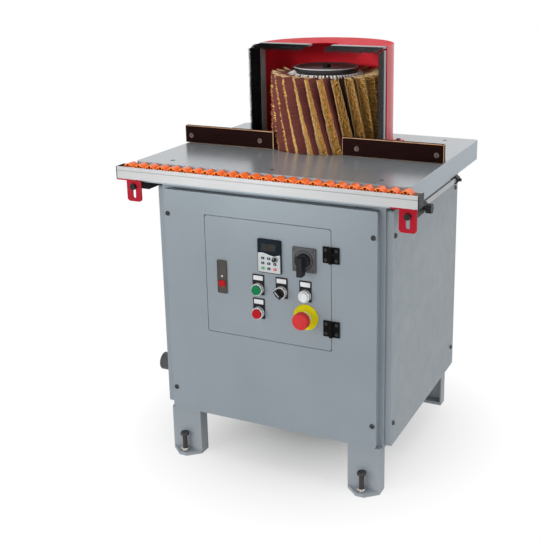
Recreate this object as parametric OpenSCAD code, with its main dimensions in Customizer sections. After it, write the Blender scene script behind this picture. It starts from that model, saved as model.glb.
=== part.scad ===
// Flap-brush edge sander: a floor cabinet with a vertical sanding brush behind
// two fences, a hood over the brush and a roller rail that slides out in front.
// Millimetres, +Z up, origin on the floor under the middle of the table, front at -Y.

/* [Table] */
// Width of the work table
table_w = 690; // [640:1:760]
// Depth of the work table
table_d = 554; // [530:1:620]
// Height of the table surface above the floor
table_z = 750; // [720:1:850]
// Thickness of the table plate
table_t = 8; // [5:0.5:12]
// Height of the folded table edge
table_edge_h = 50; // [46:1:60]
// Thickness of the folded table edge
table_edge_t = 4; // [3:0.5:6]
// Corner radius of the table
table_corner_r = 10; // [7:1:20]
// Gap between the table opening and the brush
table_cut_gap = 6; // [4:0.5:10]
// Distance of the table screws from the front and rear edges
table_screw_inset = 40; // [38:0.5:42]
// Outer table screws in from the frame's sides
table_screw_x = 18.9; // [14.9:1:22.9]

/* [Cabinet] */
// Width of the cabinet over its side panels
cabinet_w = 601; // [580:1:640]
// Depth of the folded side panels
side_tray = 15.4; // [12:0.1:20]
// Side panel behind the front table edge
side_front_setback = 24; // [22:1:30]
// Side panel in front of the rear table edge
side_rear_setback = 28; // [25:1:34]
// Sheet thickness of panels and door
sheet_t = 2; // [1.5:0.1:3]
// Width of the front and rear panels
panel_w = 544; // [536:1:548]
// Lower edge of the panels above the floor
panel_z0 = 120; // [100:1:150]
// Gap between the panels and the table edge
panel_top_gap = 11.5; // [8:0.5:16]
// Front panel behind the front table edge
front_inset = 1.5; // [1:0.1:3]
// Rear panel in front of the rear table edge
rear_inset = 15; // [12:0.5:18]
// Depth of the folded panel edges
panel_return = 17; // [14:0.5:20]
// Corner radius of the panels
tray_corner_r = 6; // [4:0.5:10]
// Panel screws in from the frame's sides
panel_screw_x = 22.4; // [20.9:0.5:24.9]
// Height of the lower panel screws above the panel edge
panel_screw_low = 56; // [40:1:80]
// Distance of the upper panel screws below the panel top
panel_screw_high = 60; // [40:1:80]

/* [Frame and legs] */
// Sheet thickness of the welded frame
frame_t = 4; // [3:0.5:5]
// Leg length of the frame angles
post_w = 30; // [28:1:34]
// Depth of the upper frame rails
rail_h = 52; // [46:1:60]
// Width of a leg
leg_w = 81; // [70:1:90]
// Depth of a leg
leg_d = 32; // [28:1:36]
// Legs inside the frame edge
leg_inset = 4; // [2:0.5:8]
// Front legs behind the front panel face
leg_setback = 4; // [3:0.5:6]
// Rear legs in front of the rear table edge
leg_rear_inset = 30; // [28:0.5:32]
// Thickness of the foot plates
foot_t = 8; // [6:0.5:12]
// Reach of the foot plates beyond the legs
foot_reach = 26; // [24:1:29]
// Width of the foot plates at their tip
foot_tip_w = 20; // [16:1:30]
// Levelling bolts in front of the leg face
level_reach = 13; // [12:0.5:15]
// Height of the levelling bolts over the floor
level_h = 59; // [45:1:80]

/* [Door] */
// Width of the door opening
door_w = 326; // [322:1:340]
// Height of the door opening
door_h = 293; // [288:1:310]
// Upper edge of the door below the panel's top
door_z = 51.5; // [40.5:1:60.5]
// Gap around the door
door_gap = 1.5; // [1.2:0.1:2]
// Depth of the folded door edges
door_return = 14; // [11:0.5:15]
// Width of a hinge over both leaves
hinge_w = 40; // [36:1:48]
// Height of a hinge
hinge_h = 38; // [30:1:45]
// Thickness of the hinge leaves
hinge_t = 3.5; // [2.5:0.1:4]
// Radius of the hinge knuckles
knuckle_r = 5; // [4.5:0.1:5.2]
// Radius of the hinge pins
hinge_pin_r = 2.5; // [1.5:0.1:3]

/* [Controls] */
// Width of a legend plate
legend_w = 30; // [29:0.5:34]
// Height of a legend plate
legend_h = 50; // [46:1:56]
// Thickness of a legend plate
legend_t = 2; // [1:0.1:3]
// Radius of a control bezel
bezel_r = 14.5; // [13.5:0.1:15]
// Height of a control bezel
bezel_h = 11; // [9:0.5:14]
// Radius of a button cap
cap_r = 11.5; // [10:0.1:12]
// Radius of a button stem
stem_r = 8; // [6:0.1:8.5]
// Travel of a push button
button_travel = 4; // [2:0.5:5]
// Radius of the yellow disc
stop_disc_r = 31; // [26:0.5:33]
// Radius of the mushroom head
stop_head_r = 20; // [18:0.5:24]
// Height of the mushroom head
stop_head_h = 16; // [12:0.5:20]
// Travel of the mushroom head
stop_travel = 6; // [4:0.5:7]
// Width of the speed keypad
keypad_w = 60; // [54:1:66]
// Height of the speed keypad
keypad_h = 81; // [76:1:86]
// Height of the keypad over the door
keypad_t = 5; // [3:0.5:8]
// Radius of the keypad knob
keypad_knob_r = 4.5; // [3.5:0.1:5]
// Width of the main switch plate
switch_w = 58; // [52:1:62]
// Thickness of the main switch plate
switch_t = 5; // [3:0.5:8]
// Radius of the main switch knob
switch_knob_r = 17; // [14:0.5:20]
// Width of the latch
latch_w = 25; // [22:0.5:30]
// Height of the latch
latch_h = 82; // [70:1:90]
// Height of the latch over the door
latch_t = 3; // [2:0.5:5]
// Travel of the latch button
latch_travel = 3; // [2:0.5:4]

/* [Fences] */
// Length of a fence
fence_l = 257; // [240:1:262]
// Height of a fence
fence_h = 45; // [38:1:60]
// Thickness of a fence
fence_t = 12; // [9:0.5:18]
// Gap between the fences
fence_gap = 186; // [176:1:200]
// Fence face behind the front table edge
fence_setback = 242; // [230:1:260]
// Sideways place of brush and fences
brush_x = -5; // [-10:1:10]

/* [Brush] */
// Radius of the sanding brush
brush_r = 143; // [136:1:144]
// Height of the sanding brush
brush_h = 194; // [160:1:200]
// Brush axis behind the fence face
brush_setback = 122.5; // [120:0.5:124]
// Number of flap packs
flap_count = 24; // [18:1:24]
// Slant of the flaps from upright
flap_tilt = 17; // [8:1:20]
// Lean of the flaps from radial
flap_lean = 32; // [15:1:36]
// Thickness of an abrasive flap
flap_t = 3; // [2:0.2:3.4]
// Thickness of a bristle strip
bristle_t = 4; // [3:0.2:4.4]
// Strands in a bristle strip
strand_count = 14; // [10:1:15]
// Width of a strand at its tip
strand_w = 4; // [2:0.2:5]
// Radius of the brush hub
hub_r = 74; // [72:0.5:78]
// Radius of the clamp disc
clamp_disc_r = 82; // [78:1:90]
// Height of the clamp disc
clamp_disc_h = 14; // [10:1:18]
// Radius of the motor shaft
shaft_r = 14; // [10:0.5:18]

/* [Hood] */
// Radius of the hood
hood_r = 170; // [165:1:178]
// Height of the hood
hood_h = 256; // [250:1:280]
// Sheet thickness of the hood
hood_t = 2; // [1.5:0.1:3]
// Straight front part of the hood
hood_apron = 19; // [12:1:30]
// Radius of the notch in the hood top
hood_notch_r = 38; // [25:1:45]
// Outer radius of the dust spigot
spigot_r = 50; // [40:1:60]
// Length of the dust spigot
spigot_l = 55.5; // [40:0.5:70]
// Width of the strip holders
holder_w = 22; // [15:1:26]
// Thickness of the strip holders
holder_t = 5; // [4:0.5:7]
// Free length of the sealing bristles
seal_l = 48; // [36:1:52]
// Splay of the side strips
seal_splay = 7.5; // [0:0.5:12]
// Spacing of the sealing bristles
seal_pitch = 6; // [6:0.5:9]

/* [Roller rail] */
// Length of the rail
rail_l = 748; // [742:1:780]
// Depth of the rail
rail_d = 34; // [31:0.5:38]
// Height of the rail sides
rail_side_h = 29; // [26:0.5:32]
// Wall of the rail
rail_t = 3; // [2.4:0.1:3.4]
// Rail behind the table edge line
rail_gap = 2; // [1.5:0.1:4]
// Number of rollers
roller_count = 24; // [12:1:24]
// Spacing of the rollers
roller_pitch = 30; // [29:0.1:30.6]
// Radius of the rollers
roller_r = 13; // [11:0.1:14]
// Rollers above the table surface
roller_rise = 0.5; // [0:0.1:1]
// Radius of the roller axles
axle_r = 2; // [1.5:0.1:2.5]
// Thickness of the rail end caps
cap_t = 2.5; // [2:0.1:4]
// Slide-out travel of the rail
rail_travel = 250; // [200:1:260]
// Height adjustment of the rail
rail_lift = 24; // [18:1:26]
// Radius of the slide rods
rod_r = 6; // [5:0.1:7]
// Depth of the rods below the table edge
rod_drop = 10; // [9:0.1:12]
// Length of the rod guides
guide_l = 72; // [60:1:76]
// Radius of the clamp knobs
clamp_knob_r = 11; // [8:0.5:13]

/* [Motor and drive] */
// Radius of the motor body
motor_r = 85; // [75:1:90]
// Length of the motor body
motor_l = 250; // [200:1:290]
// Radius of the motor flange
motor_flange_r = 105; // [100:1:112]
// Thickness of the mounting plate of the drive
drive_plate_t = 3; // [2:0.1:4]
// Depth of the drive unit
drive_d = 85; // [60:1:90]

/* [Power inlet] */
// Radius of the power inlet
inlet_r = 22.5; // [18:0.5:26]
// Length of the power inlet
inlet_l = 56; // [40:1:64]
// Height of the inlet above the panel edge
inlet_z = 73; // [55:1:120]
// Inlet behind the front edge of the side panel
inlet_y = 68; // [60:1:120]

/* [Hidden] */
$fn = 64;
roller_names = [for (i = [1 : roller_count]) str("roller_", i < 10 ? "0" : "", i)];

// Clearances and the overrun of cuts
seat = 0.2;
run_fit = 0.05;
overrun = 1;

// Levels and lines of the cabinet
table_y0 = -table_d / 2;
table_y1 = table_d / 2;
skirt_z = table_z - table_edge_h;
panel_y = table_y0 + front_inset;
rear_y = table_y1 - rear_inset;
panel_top = skirt_z - panel_top_gap;
panel_h = panel_top - panel_z0;
panel_mid_z = panel_z0 + panel_h / 2;
base_gap = 2;
base_z = panel_z0 - base_gap;
side_x = cabinet_w / 2;
side_y0 = table_y0 + side_front_setback;
side_y1 = table_y1 - side_rear_setback;
frame_x = side_x - side_tray - seat;
frame_y0 = panel_y + panel_return + seat;
frame_y1 = rear_y - panel_return - seat;
frame_top = table_z - table_t - seat;
frame_z0 = base_z - frame_t;
vent_w = 6;
leg_x = frame_x - leg_inset - leg_w / 2;
leg_y0 = panel_y + leg_setback;
leg_y1 = table_y1 - leg_rear_inset;

// Screws: metric sizes of the small fasteners
screw_r = 3;
screw_head_r = 6;
screw_head_h = 3.5;
screw_grip = 9;
level_r = 6;
level_head_r = 11;
level_head_h = 8;
level_nut_h = 9;
panel_screw_z = [panel_z0 + panel_screw_low, panel_top - panel_screw_high];
side_screw_y = [frame_y0 + post_w * 0.6, frame_y1 - post_w * 0.6];
table_screws = [
    for (sx = [-1, 0, 1]) [sx * (frame_x - table_screw_x), table_y0 + table_screw_inset],
    for (sx = [-1, 1]) [sx * (frame_x - table_screw_x), table_y1 - table_screw_inset]
];

// Brush, fences and hood
fence_y = table_y0 + fence_setback;
brush_y = fence_y + brush_setback;
cut_r = brush_r + table_cut_gap;
brush_z0 = table_z - table_t - seat;
brush_mid_z = brush_z0 + brush_h / 2;
fence_screw_shares = [0.07, 0.85];
fence_screw_share_z = 0.42;
angle_t = 5;
angle_d = 19;
angle_h = 34;
angle_end = 12;
hood_tab_r = 15;
hood_tab_angle = 31;
hood_tab_t = 3;
hood_tab_x = hood_r + hood_tab_r + hood_tab_t;
spigot_t = 2;
spigot_share_z = 0.33;
spigot_collar_t = 4.5;
spigot_collar_w = 6;

// Flap packs: a bead at the root sits in a slot of the hub, then the pack leans over
root_r = 60;
bead_d = 5;
bead_w = 1.5;
pack_gap = 0.2;
bend_gap = 2;
bend_r = hub_r + bend_gap;
white_l = 17;
pack_t = max(flap_t, bristle_t) + pack_gap + bead_w;
pack_l = (brush_h - 2 * seat - 2 * pack_t * sin(flap_tilt)) / cos(flap_tilt);
strip_l = pack_l - 2 * bristle_t;
strand_pitch = strip_l / strand_count;

// Rail, rods and brackets
rail_y1 = table_y0 - rail_gap;
rail_y0 = rail_y1 - rail_d;
roller_z = table_z + roller_rise - roller_r;
rail_top = roller_z + axle_r + rail_t;
rail_z0 = rail_top - rail_side_h;
roller_end_gap = 0.5;
roller_l = rail_d - 2 * rail_t - 2 * roller_end_gap;
rod_x = table_w / 2;
rod_z = skirt_z - rod_drop;
bolt_r = 4;
bolt_head_r = 8;
bolt_head_h = 6;
bolt_grip = 14;
bracket_t = 4;
bracket_w = 40;
bracket_tail = 13;
slot_fit = 0.6;
bracket_y1 = rail_y1 - rail_t - bracket_t;
bracket_y0 = bracket_y1 - bracket_t;
rod_y0 = bracket_y1 + seat;
guide_y0 = table_y0 + table_edge_t + table_corner_r;
guide_y1 = guide_y0 + guide_l;
guide_wall = 5;
guide_lug = 20;
groove = 1;
cap_plug = 12;
bracket_corner_r = 8;
rim_t = 1.8;
roller_hub_t = 2.5;
collar_l = 18;
collar_r = 10;
rod_y1 = guide_y1 + seat + rail_travel + collar_l;
rod_l = rod_y1 - rod_y0;
collar_screw_x = (rod_r + collar_r) / 2;
clamp_share_y = 0.72;
clamp_y = guide_y0 + guide_l * clamp_share_y;
clamp_knob_h = 13;
clamp_neck_h = 5;

// Door, hinges and the places of the controls as shares of the door opening
door_z0 = panel_top - door_z - door_h;
door_mid_z = door_z0 + door_h / 2;
opening_corner_r = 5;
opening_lip = 12;
hinge_y = panel_y - knuckle_r - seat * 2;
hinge_x = door_w / 2;
hinge_share_z = [0.193, 0.795];
start_shares = [0.432, 0.438];
stop_shares = [0.432, 0.237];
selector_shares = [0.617, 0.438];
lamp_shares = [0.802, 0.438];
estop_shares = [0.802, 0.257];
keypad_shares = [0.528, 0.722];
switch_shares = [0.797, 0.73];
latch_shares = [0.137, 0.494];
bezel_recess = 9;
barrel_r = 11;
barrel_l = 20;
block_w = 26;
block_l = 26;
cap_h = 7;
cap_proud = 3;
stem_l = 16;
hole_fit = 0.3;
key_w = 8;
key_h = 6;
key_t = 1;
key_shares_x = [0.233, 0.49, 0.75];
key_shares_z = [0.437, 0.293, 0.137];
keypad_back_share = 0.8;
keypad_back_l = 24;
keypad_corner_r = 3;
pointer_w = 1.2;
knob_stem_r = 2.5;
knob_stem_l = 4;
keypad_knob_h = 8;
switch_knob_h = 12;
switch_handle_w = 13;
switch_handle_h = 14;
switch_stem_r = 7;
switch_stem_l = 20;
switch_body_w = 46;
switch_body_l = 40;
selector_handle_w = 8;
selector_handle_h = 9;
latch_rim = 2.5;
latch_case_l = 22;
latch_button_h = 15;
latch_button_share = 0.3;
latch_proud = 1.5;

// Motor, hub and drive
disc_rim = 7;
disc_lip = 4;
hub_flange_h = 8;
hub_flange_gap = 20;
hub_z0 = brush_z0 - hub_flange_gap;
motor_top = frame_top - rail_h - seat;
motor_flange_t = 12;
motor_spigot_r = 55;
motor_spigot_h = 5;
motor_bore_l = 60;
motor_bolt_r = 92;
motor_fin_count = 28;
motor_fin_h = 7;
motor_fin_t = 3;
motor_cowl_l = 60;
motor_cowl_rim = 2;
terminal_w = 90;
terminal_d = 40;
bridge_t = 8;
bridge_reach = 112;
bridge_lip = 48;
drive_gap = 84;
drive_y = brush_y - motor_flange_r - drive_gap;
inlet_pin_r = 2.5;
inlet_wall = 3;
drive_plate_w = 300;
drive_margin = 18;
drive_slot_w = 4;
drive_slot_d = 6;
drive_w = 130;
drive_h = 215;
contactor_w = 46;
contactor_h = 82;
contactor_d = 62;
terminal_rail_h = 45;
terminal_rail_d = 34;
drive_screw_share = 0.42;
drive_share_z = 0.44;
contactor_share_z = 0.56;
terminal_share_z = 0.28;

// Plain helpers
module both_sides() {
    children();
    mirror([1, 0, 0]) children();
}

module rounded_rect(w, h, r) {
    square([w - 2 * r, h], center = true);
    square([w, h - 2 * r], center = true);
    for (sx = [-1, 1], sy = [-1, 1])
        translate([sx * (w / 2 - r), sy * (h / 2 - r)]) circle(r);
}

// Turns a flat outline upright in the X-Z plane, from y = 0 back to y = d
module upright(d) {
    translate([0, d, 0]) rotate([90, 0, 0]) linear_extrude(d) children();
}

// Turns a flat outline into the Y-Z plane, from x = 0 out to x = d
module sideways(d) {
    rotate([90, 0, 90]) linear_extrude(d) children();
}

// Folded sheet tray, face at y = 0 and open towards +Y
module tray(w, h, depth) {
    difference() {
        upright(depth) rounded_rect(w, h, tray_corner_r);
        translate([0, sheet_t, 0])
            upright(depth) rounded_rect(w - 2 * sheet_t, h - 2 * sheet_t, tray_corner_r - sheet_t);
    }
}

// Screw with its head above z = 0 and its shank down the -Z side
module pan_screw(shank) {
    cylinder(r = screw_head_r, h = screw_head_h);
    translate([0, 0, -shank]) cylinder(r = screw_r, h = shank);
}

module screw_hole(depth) {
    translate([0, 0, -depth]) cylinder(r = screw_r + run_fit, h = depth + overrun);
}

// Countersunk screw flush with z = 0
module flat_screw(shank) {
    translate([0, 0, -screw_head_h]) cylinder(r1 = screw_r, r2 = screw_head_r, h = screw_head_h);
    translate([0, 0, -shank]) cylinder(r = screw_r, h = shank);
}

module flat_screw_hole(depth) {
    translate([0, 0, -screw_head_h])
        cylinder(r1 = screw_r + run_fit, r2 = screw_head_r + run_fit, h = screw_head_h);
    cylinder(r = screw_head_r + run_fit, h = overrun);
    screw_hole(depth);
}

// Places for the children: screws of the front, rear, side panels and of the table
module at_front_screws() {
    for (sx = [-1, 1], z = panel_screw_z)
        translate([sx * (frame_x - panel_screw_x), panel_y - seat, z]) rotate([90, 0, 0]) children();
}

module at_rear_screws() {
    for (sx = [-1, 1], z = panel_screw_z)
        translate([sx * (frame_x - panel_screw_x), rear_y + seat, z]) rotate([-90, 0, 0]) children();
}

module at_side_screws() {
    both_sides()
        for (y = side_screw_y, z = panel_screw_z)
            translate([side_x + seat, y, z]) rotate([0, 90, 0]) children();
}

module at_table_screws() {
    for (p = table_screws) translate([p[0], p[1], table_z]) children();
}

module at_legs() {
    both_sides() {
        translate([leg_x, leg_y0, 0]) children();
        translate([leg_x, leg_y1, 0]) mirror([0, 1, 0]) children();
    }
}

module at_motor_bolts() {
    for (a = [45 : 90 : 315])
        translate([brush_x, brush_y, frame_top - rail_h + bridge_t + seat])
            rotate([0, 0, a]) translate([motor_bolt_r, 0, 0]) children();
}

module at_drive_screws() {
    for (sx = [-1, 1], z = [frame_z0 + post_w * 0.7, frame_top - rail_h - bridge_lip / 2])
        translate([sx * drive_plate_w * drive_screw_share, drive_y - seat * 2 - drive_plate_t, z])
            rotate([90, 0, 0]) children();
}

module at_fence_screws() {
    for (sx = [-1, 1], s = fence_screw_shares)
        translate([brush_x + sx * (fence_gap / 2 + fence_l * (1 - s)), fence_y - seat,
                   table_z + seat + fence_h * fence_screw_share_z])
            rotate([90, 0, 0]) children();
}

module at_hood_tabs() {
    for (a = [hood_tab_angle, 180 - hood_tab_angle])
        translate([brush_x, brush_y, table_z + seat]) rotate([0, 0, a]) children();
}

// Place of a control, given by its shares of the door opening, facing -Y
module at_control(shares) {
    translate([door_w * (shares[0] - 0.5), panel_y, door_z0 + door_h * shares[1]])
        rotate([90, 0, 0]) children();
}

// Welded frame: angle posts and rails, folded legs on foot plates, motor bridge
module leg() {
    difference() {
        union() {
            translate([-leg_w / 2, 0, 0]) cube([leg_w, leg_d, base_z]);
            linear_extrude(foot_t)
                polygon([[-leg_w / 2, leg_d], [-leg_w / 2, 0], [-foot_tip_w / 2, -foot_reach],
                         [foot_tip_w / 2, -foot_reach], [leg_w / 2, 0], [leg_w / 2, leg_d]]);
        }
        translate([-leg_w / 2 + frame_t, frame_t, foot_t])
            cube([leg_w - 2 * frame_t, leg_d, base_z - foot_t - frame_t]);
        translate([0, -level_reach, -overrun])
            cylinder(r = level_r + run_fit, h = foot_t + 2 * overrun);
    }
}

module frame_side() {
    post_h = frame_top - frame_z0;
    side_l = frame_y1 - frame_y0;
    for (y = [frame_y0, frame_y1 - frame_t])
        translate([frame_x - post_w, y, frame_z0]) cube([post_w, frame_t, post_h]);
    for (y = [frame_y0, frame_y1 - post_w])
        translate([frame_x - frame_t, y, frame_z0]) cube([frame_t, post_w, post_h]);
    translate([frame_x - frame_t, frame_y0, frame_top - rail_h]) cube([frame_t, side_l, rail_h]);
    for (z = [frame_z0, frame_top - frame_t])
        translate([frame_x - post_w, frame_y0, z]) cube([post_w, side_l, frame_t]);
    translate([frame_x - frame_t, frame_y0, frame_z0]) cube([frame_t, side_l, post_w]);
}

module frame_crossbars() {
    span = 2 * frame_x;
    translate([-frame_x, 0, 0]) {
        for (y = [frame_y0, frame_y1 - frame_t]) {
            translate([0, y, frame_top - rail_h]) cube([span, frame_t, rail_h]);
            translate([0, y, frame_z0]) cube([span, frame_t, post_w]);
        }
        translate([0, frame_y0, frame_top - frame_t]) cube([span, post_w, frame_t]);
        for (y = [frame_y0, frame_y1 - post_w])
            translate([0, y, frame_z0]) cube([span, post_w, frame_t]);
        translate([0, drive_y, frame_top - rail_h])
            cube([span, brush_y + bridge_reach - drive_y, bridge_t]);
        translate([0, drive_y, frame_top - rail_h - bridge_lip]) cube([span, frame_t, bridge_lip]);
        translate([0, drive_y, frame_z0]) cube([span, frame_t, post_w]);
        translate([0, drive_y, frame_z0]) cube([span, post_w, frame_t]);
    }
}

module cabinet_frame() {
    color("lightslategray")
    difference() {
        union() {
            both_sides() frame_side();
            frame_crossbars();
            at_legs() leg();
        }
        at_front_screws() screw_hole(panel_return + screw_grip + overrun);
        at_rear_screws() screw_hole(panel_return + screw_grip + overrun);
        at_side_screws() screw_hole(side_tray + screw_grip + overrun);
        at_table_screws() screw_hole(table_t + screw_grip + overrun);
        at_motor_bolts() screw_hole(bridge_t + overrun);
        at_drive_screws() screw_hole(drive_plate_t + screw_grip + overrun);
        translate([brush_x, brush_y, frame_top - rail_h - overrun])
            cylinder(r = motor_spigot_r + run_fit, h = bridge_t + 2 * overrun);
    }
}

// Front panel with the door opening and its stiffening lip
module front_panel() {
    color("lightsteelblue")
    difference() {
        union() {
            translate([0, panel_y, panel_mid_z]) tray(panel_w, panel_h, panel_return);
            translate([0, panel_y, door_mid_z])
                upright(opening_lip)
                    rounded_rect(door_w + 2 * sheet_t, door_h + 2 * sheet_t, opening_corner_r + sheet_t);
        }
        translate([0, panel_y - overrun, door_mid_z])
            upright(opening_lip + 2 * overrun) rounded_rect(door_w, door_h, opening_corner_r);
        at_front_screws() screw_hole(sheet_t + overrun);
    }
}

// Side and rear cover panels
module side_cover() {
    translate([side_x, (side_y0 + side_y1) / 2, panel_mid_z])
        rotate([0, 0, 90]) tray(side_y1 - side_y0, panel_h, side_tray);
}

module rear_cover() {
    slot_count = 9;
    slot_share_l = 0.42;
    slot_share_pitch = 0.028;
    slot_share_z = 0.22;
    difference() {
        translate([0, rear_y, panel_mid_z]) rotate([0, 0, 180]) tray(panel_w, panel_h, panel_return);
        for (i = [0 : slot_count - 1])
            translate([0, rear_y - sheet_t - overrun,
                       panel_mid_z + panel_h * (slot_share_z - slot_share_pitch * i)])
                upright(sheet_t + 2 * overrun) rounded_rect(panel_w * slot_share_l, vent_w, vent_w / 2 - seat);
    }
}

module cover_panels() {
    color("lightsteelblue")
    difference() {
        union() {
            both_sides() side_cover();
            rear_cover();
        }
        at_rear_screws() screw_hole(sheet_t + overrun);
        at_side_screws() screw_hole(sheet_t + overrun);
        at_inlet() translate([0, 0, -sheet_t - overrun])
            cylinder(r = inlet_r - sheet_t + seat, h = sheet_t + 2 * overrun);
    }
}

// Work table: plate with a folded edge, the brush opening and two fence angles
module fence_angle() {
    inner = brush_x + fence_gap / 2 + fence_l * (1 - fence_screw_shares[1]) - angle_end;
    outer = min(table_w / 2 - table_edge_t, brush_x + fence_gap / 2 + fence_l);
    translate([inner, fence_y + fence_t + seat, table_z]) {
        cube([outer - inner, angle_t, angle_h]);
        translate([0, 0, -table_t / 2]) cube([outer - inner, angle_d, angle_t + table_t / 2]);
    }
}

module work_table() {
    color("silver")
    difference() {
        union() {
            difference() {
                translate([0, 0, skirt_z])
                    linear_extrude(table_edge_h) rounded_rect(table_w, table_d, table_corner_r);
                translate([0, 0, skirt_z - overrun])
                    linear_extrude(table_edge_h - table_t + overrun)
                        rounded_rect(table_w - 2 * table_edge_t, table_d - 2 * table_edge_t,
                                     table_corner_r - table_edge_t);
            }
            fence_angle();
            translate([2 * brush_x, 0, 0]) mirror([1, 0, 0]) fence_angle();
        }
        translate([brush_x, brush_y, table_z - table_t - overrun])
            cylinder(r = cut_r, h = table_t + angle_t + angle_h + 2 * overrun);
        at_table_screws() flat_screw_hole(table_t + overrun);
        at_fence_screws() screw_hole(fence_t + angle_t + angle_t);
        at_hood_tabs() translate([hood_tab_x, 0, 0]) screw_hole(table_t + 2 * overrun);
    }
}

// Two fence boards with countersunk screws
module fences() {
    color("saddlebrown")
    difference() {
        for (sx = [-1, 1])
            translate([brush_x + sx * (fence_gap + fence_l) / 2 - fence_l / 2, fence_y, table_z + seat])
                cube([fence_l, fence_t, fence_h]);
        at_fence_screws() translate([0, 0, -seat]) flat_screw_hole(fence_t + overrun);
    }
}

// Hood: half-round sheet shell, open in front, with foot tabs and a dust spigot
module hood_outline(r) {
    intersection() {
        circle(r);
        translate([-hood_r, 0]) square([2 * hood_r, hood_r]);
    }
    translate([-r, -hood_apron]) square([2 * r, hood_apron + hood_t]);
}

module dust_hood() {
    color("red")
    translate([brush_x, brush_y, table_z + seat])
    difference() {
        union() {
            linear_extrude(hood_h) hood_outline(hood_r);
            for (a = [hood_tab_angle, 180 - hood_tab_angle])
                rotate([0, 0, a]) {
                    translate([hood_tab_x, 0, 0]) cylinder(r = hood_tab_r, h = hood_tab_t);
                    translate([hood_r - hood_tab_r, -hood_tab_r, 0])
                        cube([2 * hood_tab_r + hood_tab_t, 2 * hood_tab_r, hood_tab_t]);
                }
            translate([0, 0, hood_h * spigot_share_z])
                rotate([-90, 0, 0]) {
                    cylinder(r = spigot_r, h = hood_r + spigot_l);
                    cylinder(r = spigot_r + spigot_collar_w, h = hood_r + spigot_collar_t);
                }
        }
        translate([0, 0, -overrun]) linear_extrude(hood_h - hood_t + overrun) hood_outline(hood_r - hood_t);
        translate([-hood_r + hood_t, -hood_apron - overrun, -overrun])
            cube([2 * (hood_r - hood_t), hood_apron, hood_h - hood_t + overrun]);
        translate([0, 0, hood_h * spigot_share_z])
            rotate([-90, 0, 0]) cylinder(r = spigot_r - spigot_t, h = hood_r + spigot_l + overrun);
        translate([0, -hood_apron, hood_h - hood_t - overrun])
            cylinder(r = hood_notch_r, h = hood_t + 2 * overrun);
        for (a = [hood_tab_angle, 180 - hood_tab_angle])
            rotate([0, 0, a]) translate([hood_tab_x, 0, hood_tab_t]) screw_hole(hood_tab_t + overrun);
    }
}

// Sealing strip: a holder along X with a comb of bristles towards -Y
function comb(l, base, tip, pitch, w) = let (n = floor((l - w) / pitch)) concat(
    [[l, 0], [0, 0], [0, base]],
    [for (i = [0 : n - 1], p = [[0, base], [w / 4, tip], [w * 3 / 4, tip], [w, base]])
        [w / 2 + i * pitch + p[0], p[1]]],
    [[l, base]]
);

module seal_strip(l) {
    seal_t = holder_t * 0.6;
    strand_width = seal_pitch * 0.75;
    translate([0, -holder_w, -holder_t / 2]) cube([l, holder_w, holder_t]);
    translate([0, -holder_w / 2, -seal_t / 2])
        linear_extrude(seal_t) mirror([0, 1])
            polygon(comb(l, holder_w / 2 + seal_t, holder_w / 2 + seal_l, seal_pitch, strand_width));
}

module hood_brush_strips() {
    top_l = hood_r - hood_t - hood_notch_r * 0.8;
    side_l = hood_h - hood_t - 2 * holder_t;
    color("dimgray")
    translate([brush_x, brush_y - hood_apron - seat, table_z + seat]) {
        for (sx = [-1, 1])
            translate([sx * (hood_r - holder_t), 0, holder_t / 2])
                rotate([0, 0, sx * seal_splay]) translate([0, -holder_t / 2 * sin(seal_splay), 0])
                    rotate([0, -90, 0]) seal_strip(side_l);
        for (x = [-hood_r + hood_t, hood_notch_r * 0.8])
            translate([x, 0, hood_h - holder_t / 2]) seal_strip(top_l);
    }
}

// Motor hung under the bridge: flange, finned body, cowl and terminal box
module brush_motor() {
    color("dimgray")
    translate([brush_x, brush_y, motor_top])
    difference() {
        union() {
            rotate_extrude()
                polygon([[0, motor_spigot_h + seat], [motor_spigot_r, motor_spigot_h + seat],
                         [motor_spigot_r, 0], [motor_flange_r, 0], [motor_flange_r, -motor_flange_t],
                         [motor_r, -motor_flange_t], [motor_r, -motor_l],
                         [motor_r - motor_fin_h, -motor_l - motor_fin_h], [0, -motor_l - motor_fin_h]]);
            for (i = [0 : motor_fin_count - 1])
                rotate([0, 0, 360 / motor_fin_count * (i + 0.5)])
                    translate([motor_r - motor_fin_t, -motor_fin_t / 2, -motor_l + motor_cowl_l])
                        cube([motor_fin_h + motor_fin_t, motor_fin_t,
                              motor_l - motor_cowl_l - motor_flange_t]);
            translate([0, 0, -motor_l]) cylinder(r = motor_r + motor_fin_h + motor_cowl_rim, h = motor_cowl_l);
            translate([motor_r - motor_fin_h, -terminal_w / 2, -motor_l + motor_cowl_l + motor_fin_h])
                cube([terminal_d + motor_fin_h, terminal_w, terminal_w]);
        }
        translate([0, 0, -motor_bore_l])
            cylinder(r = shaft_r + run_fit, h = motor_bore_l + motor_spigot_h + overrun);
        for (a = [45 : 90 : 315])
            rotate([0, 0, a]) translate([motor_bolt_r, 0, 0]) screw_hole(motor_flange_t + overrun);
    }
}

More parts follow.
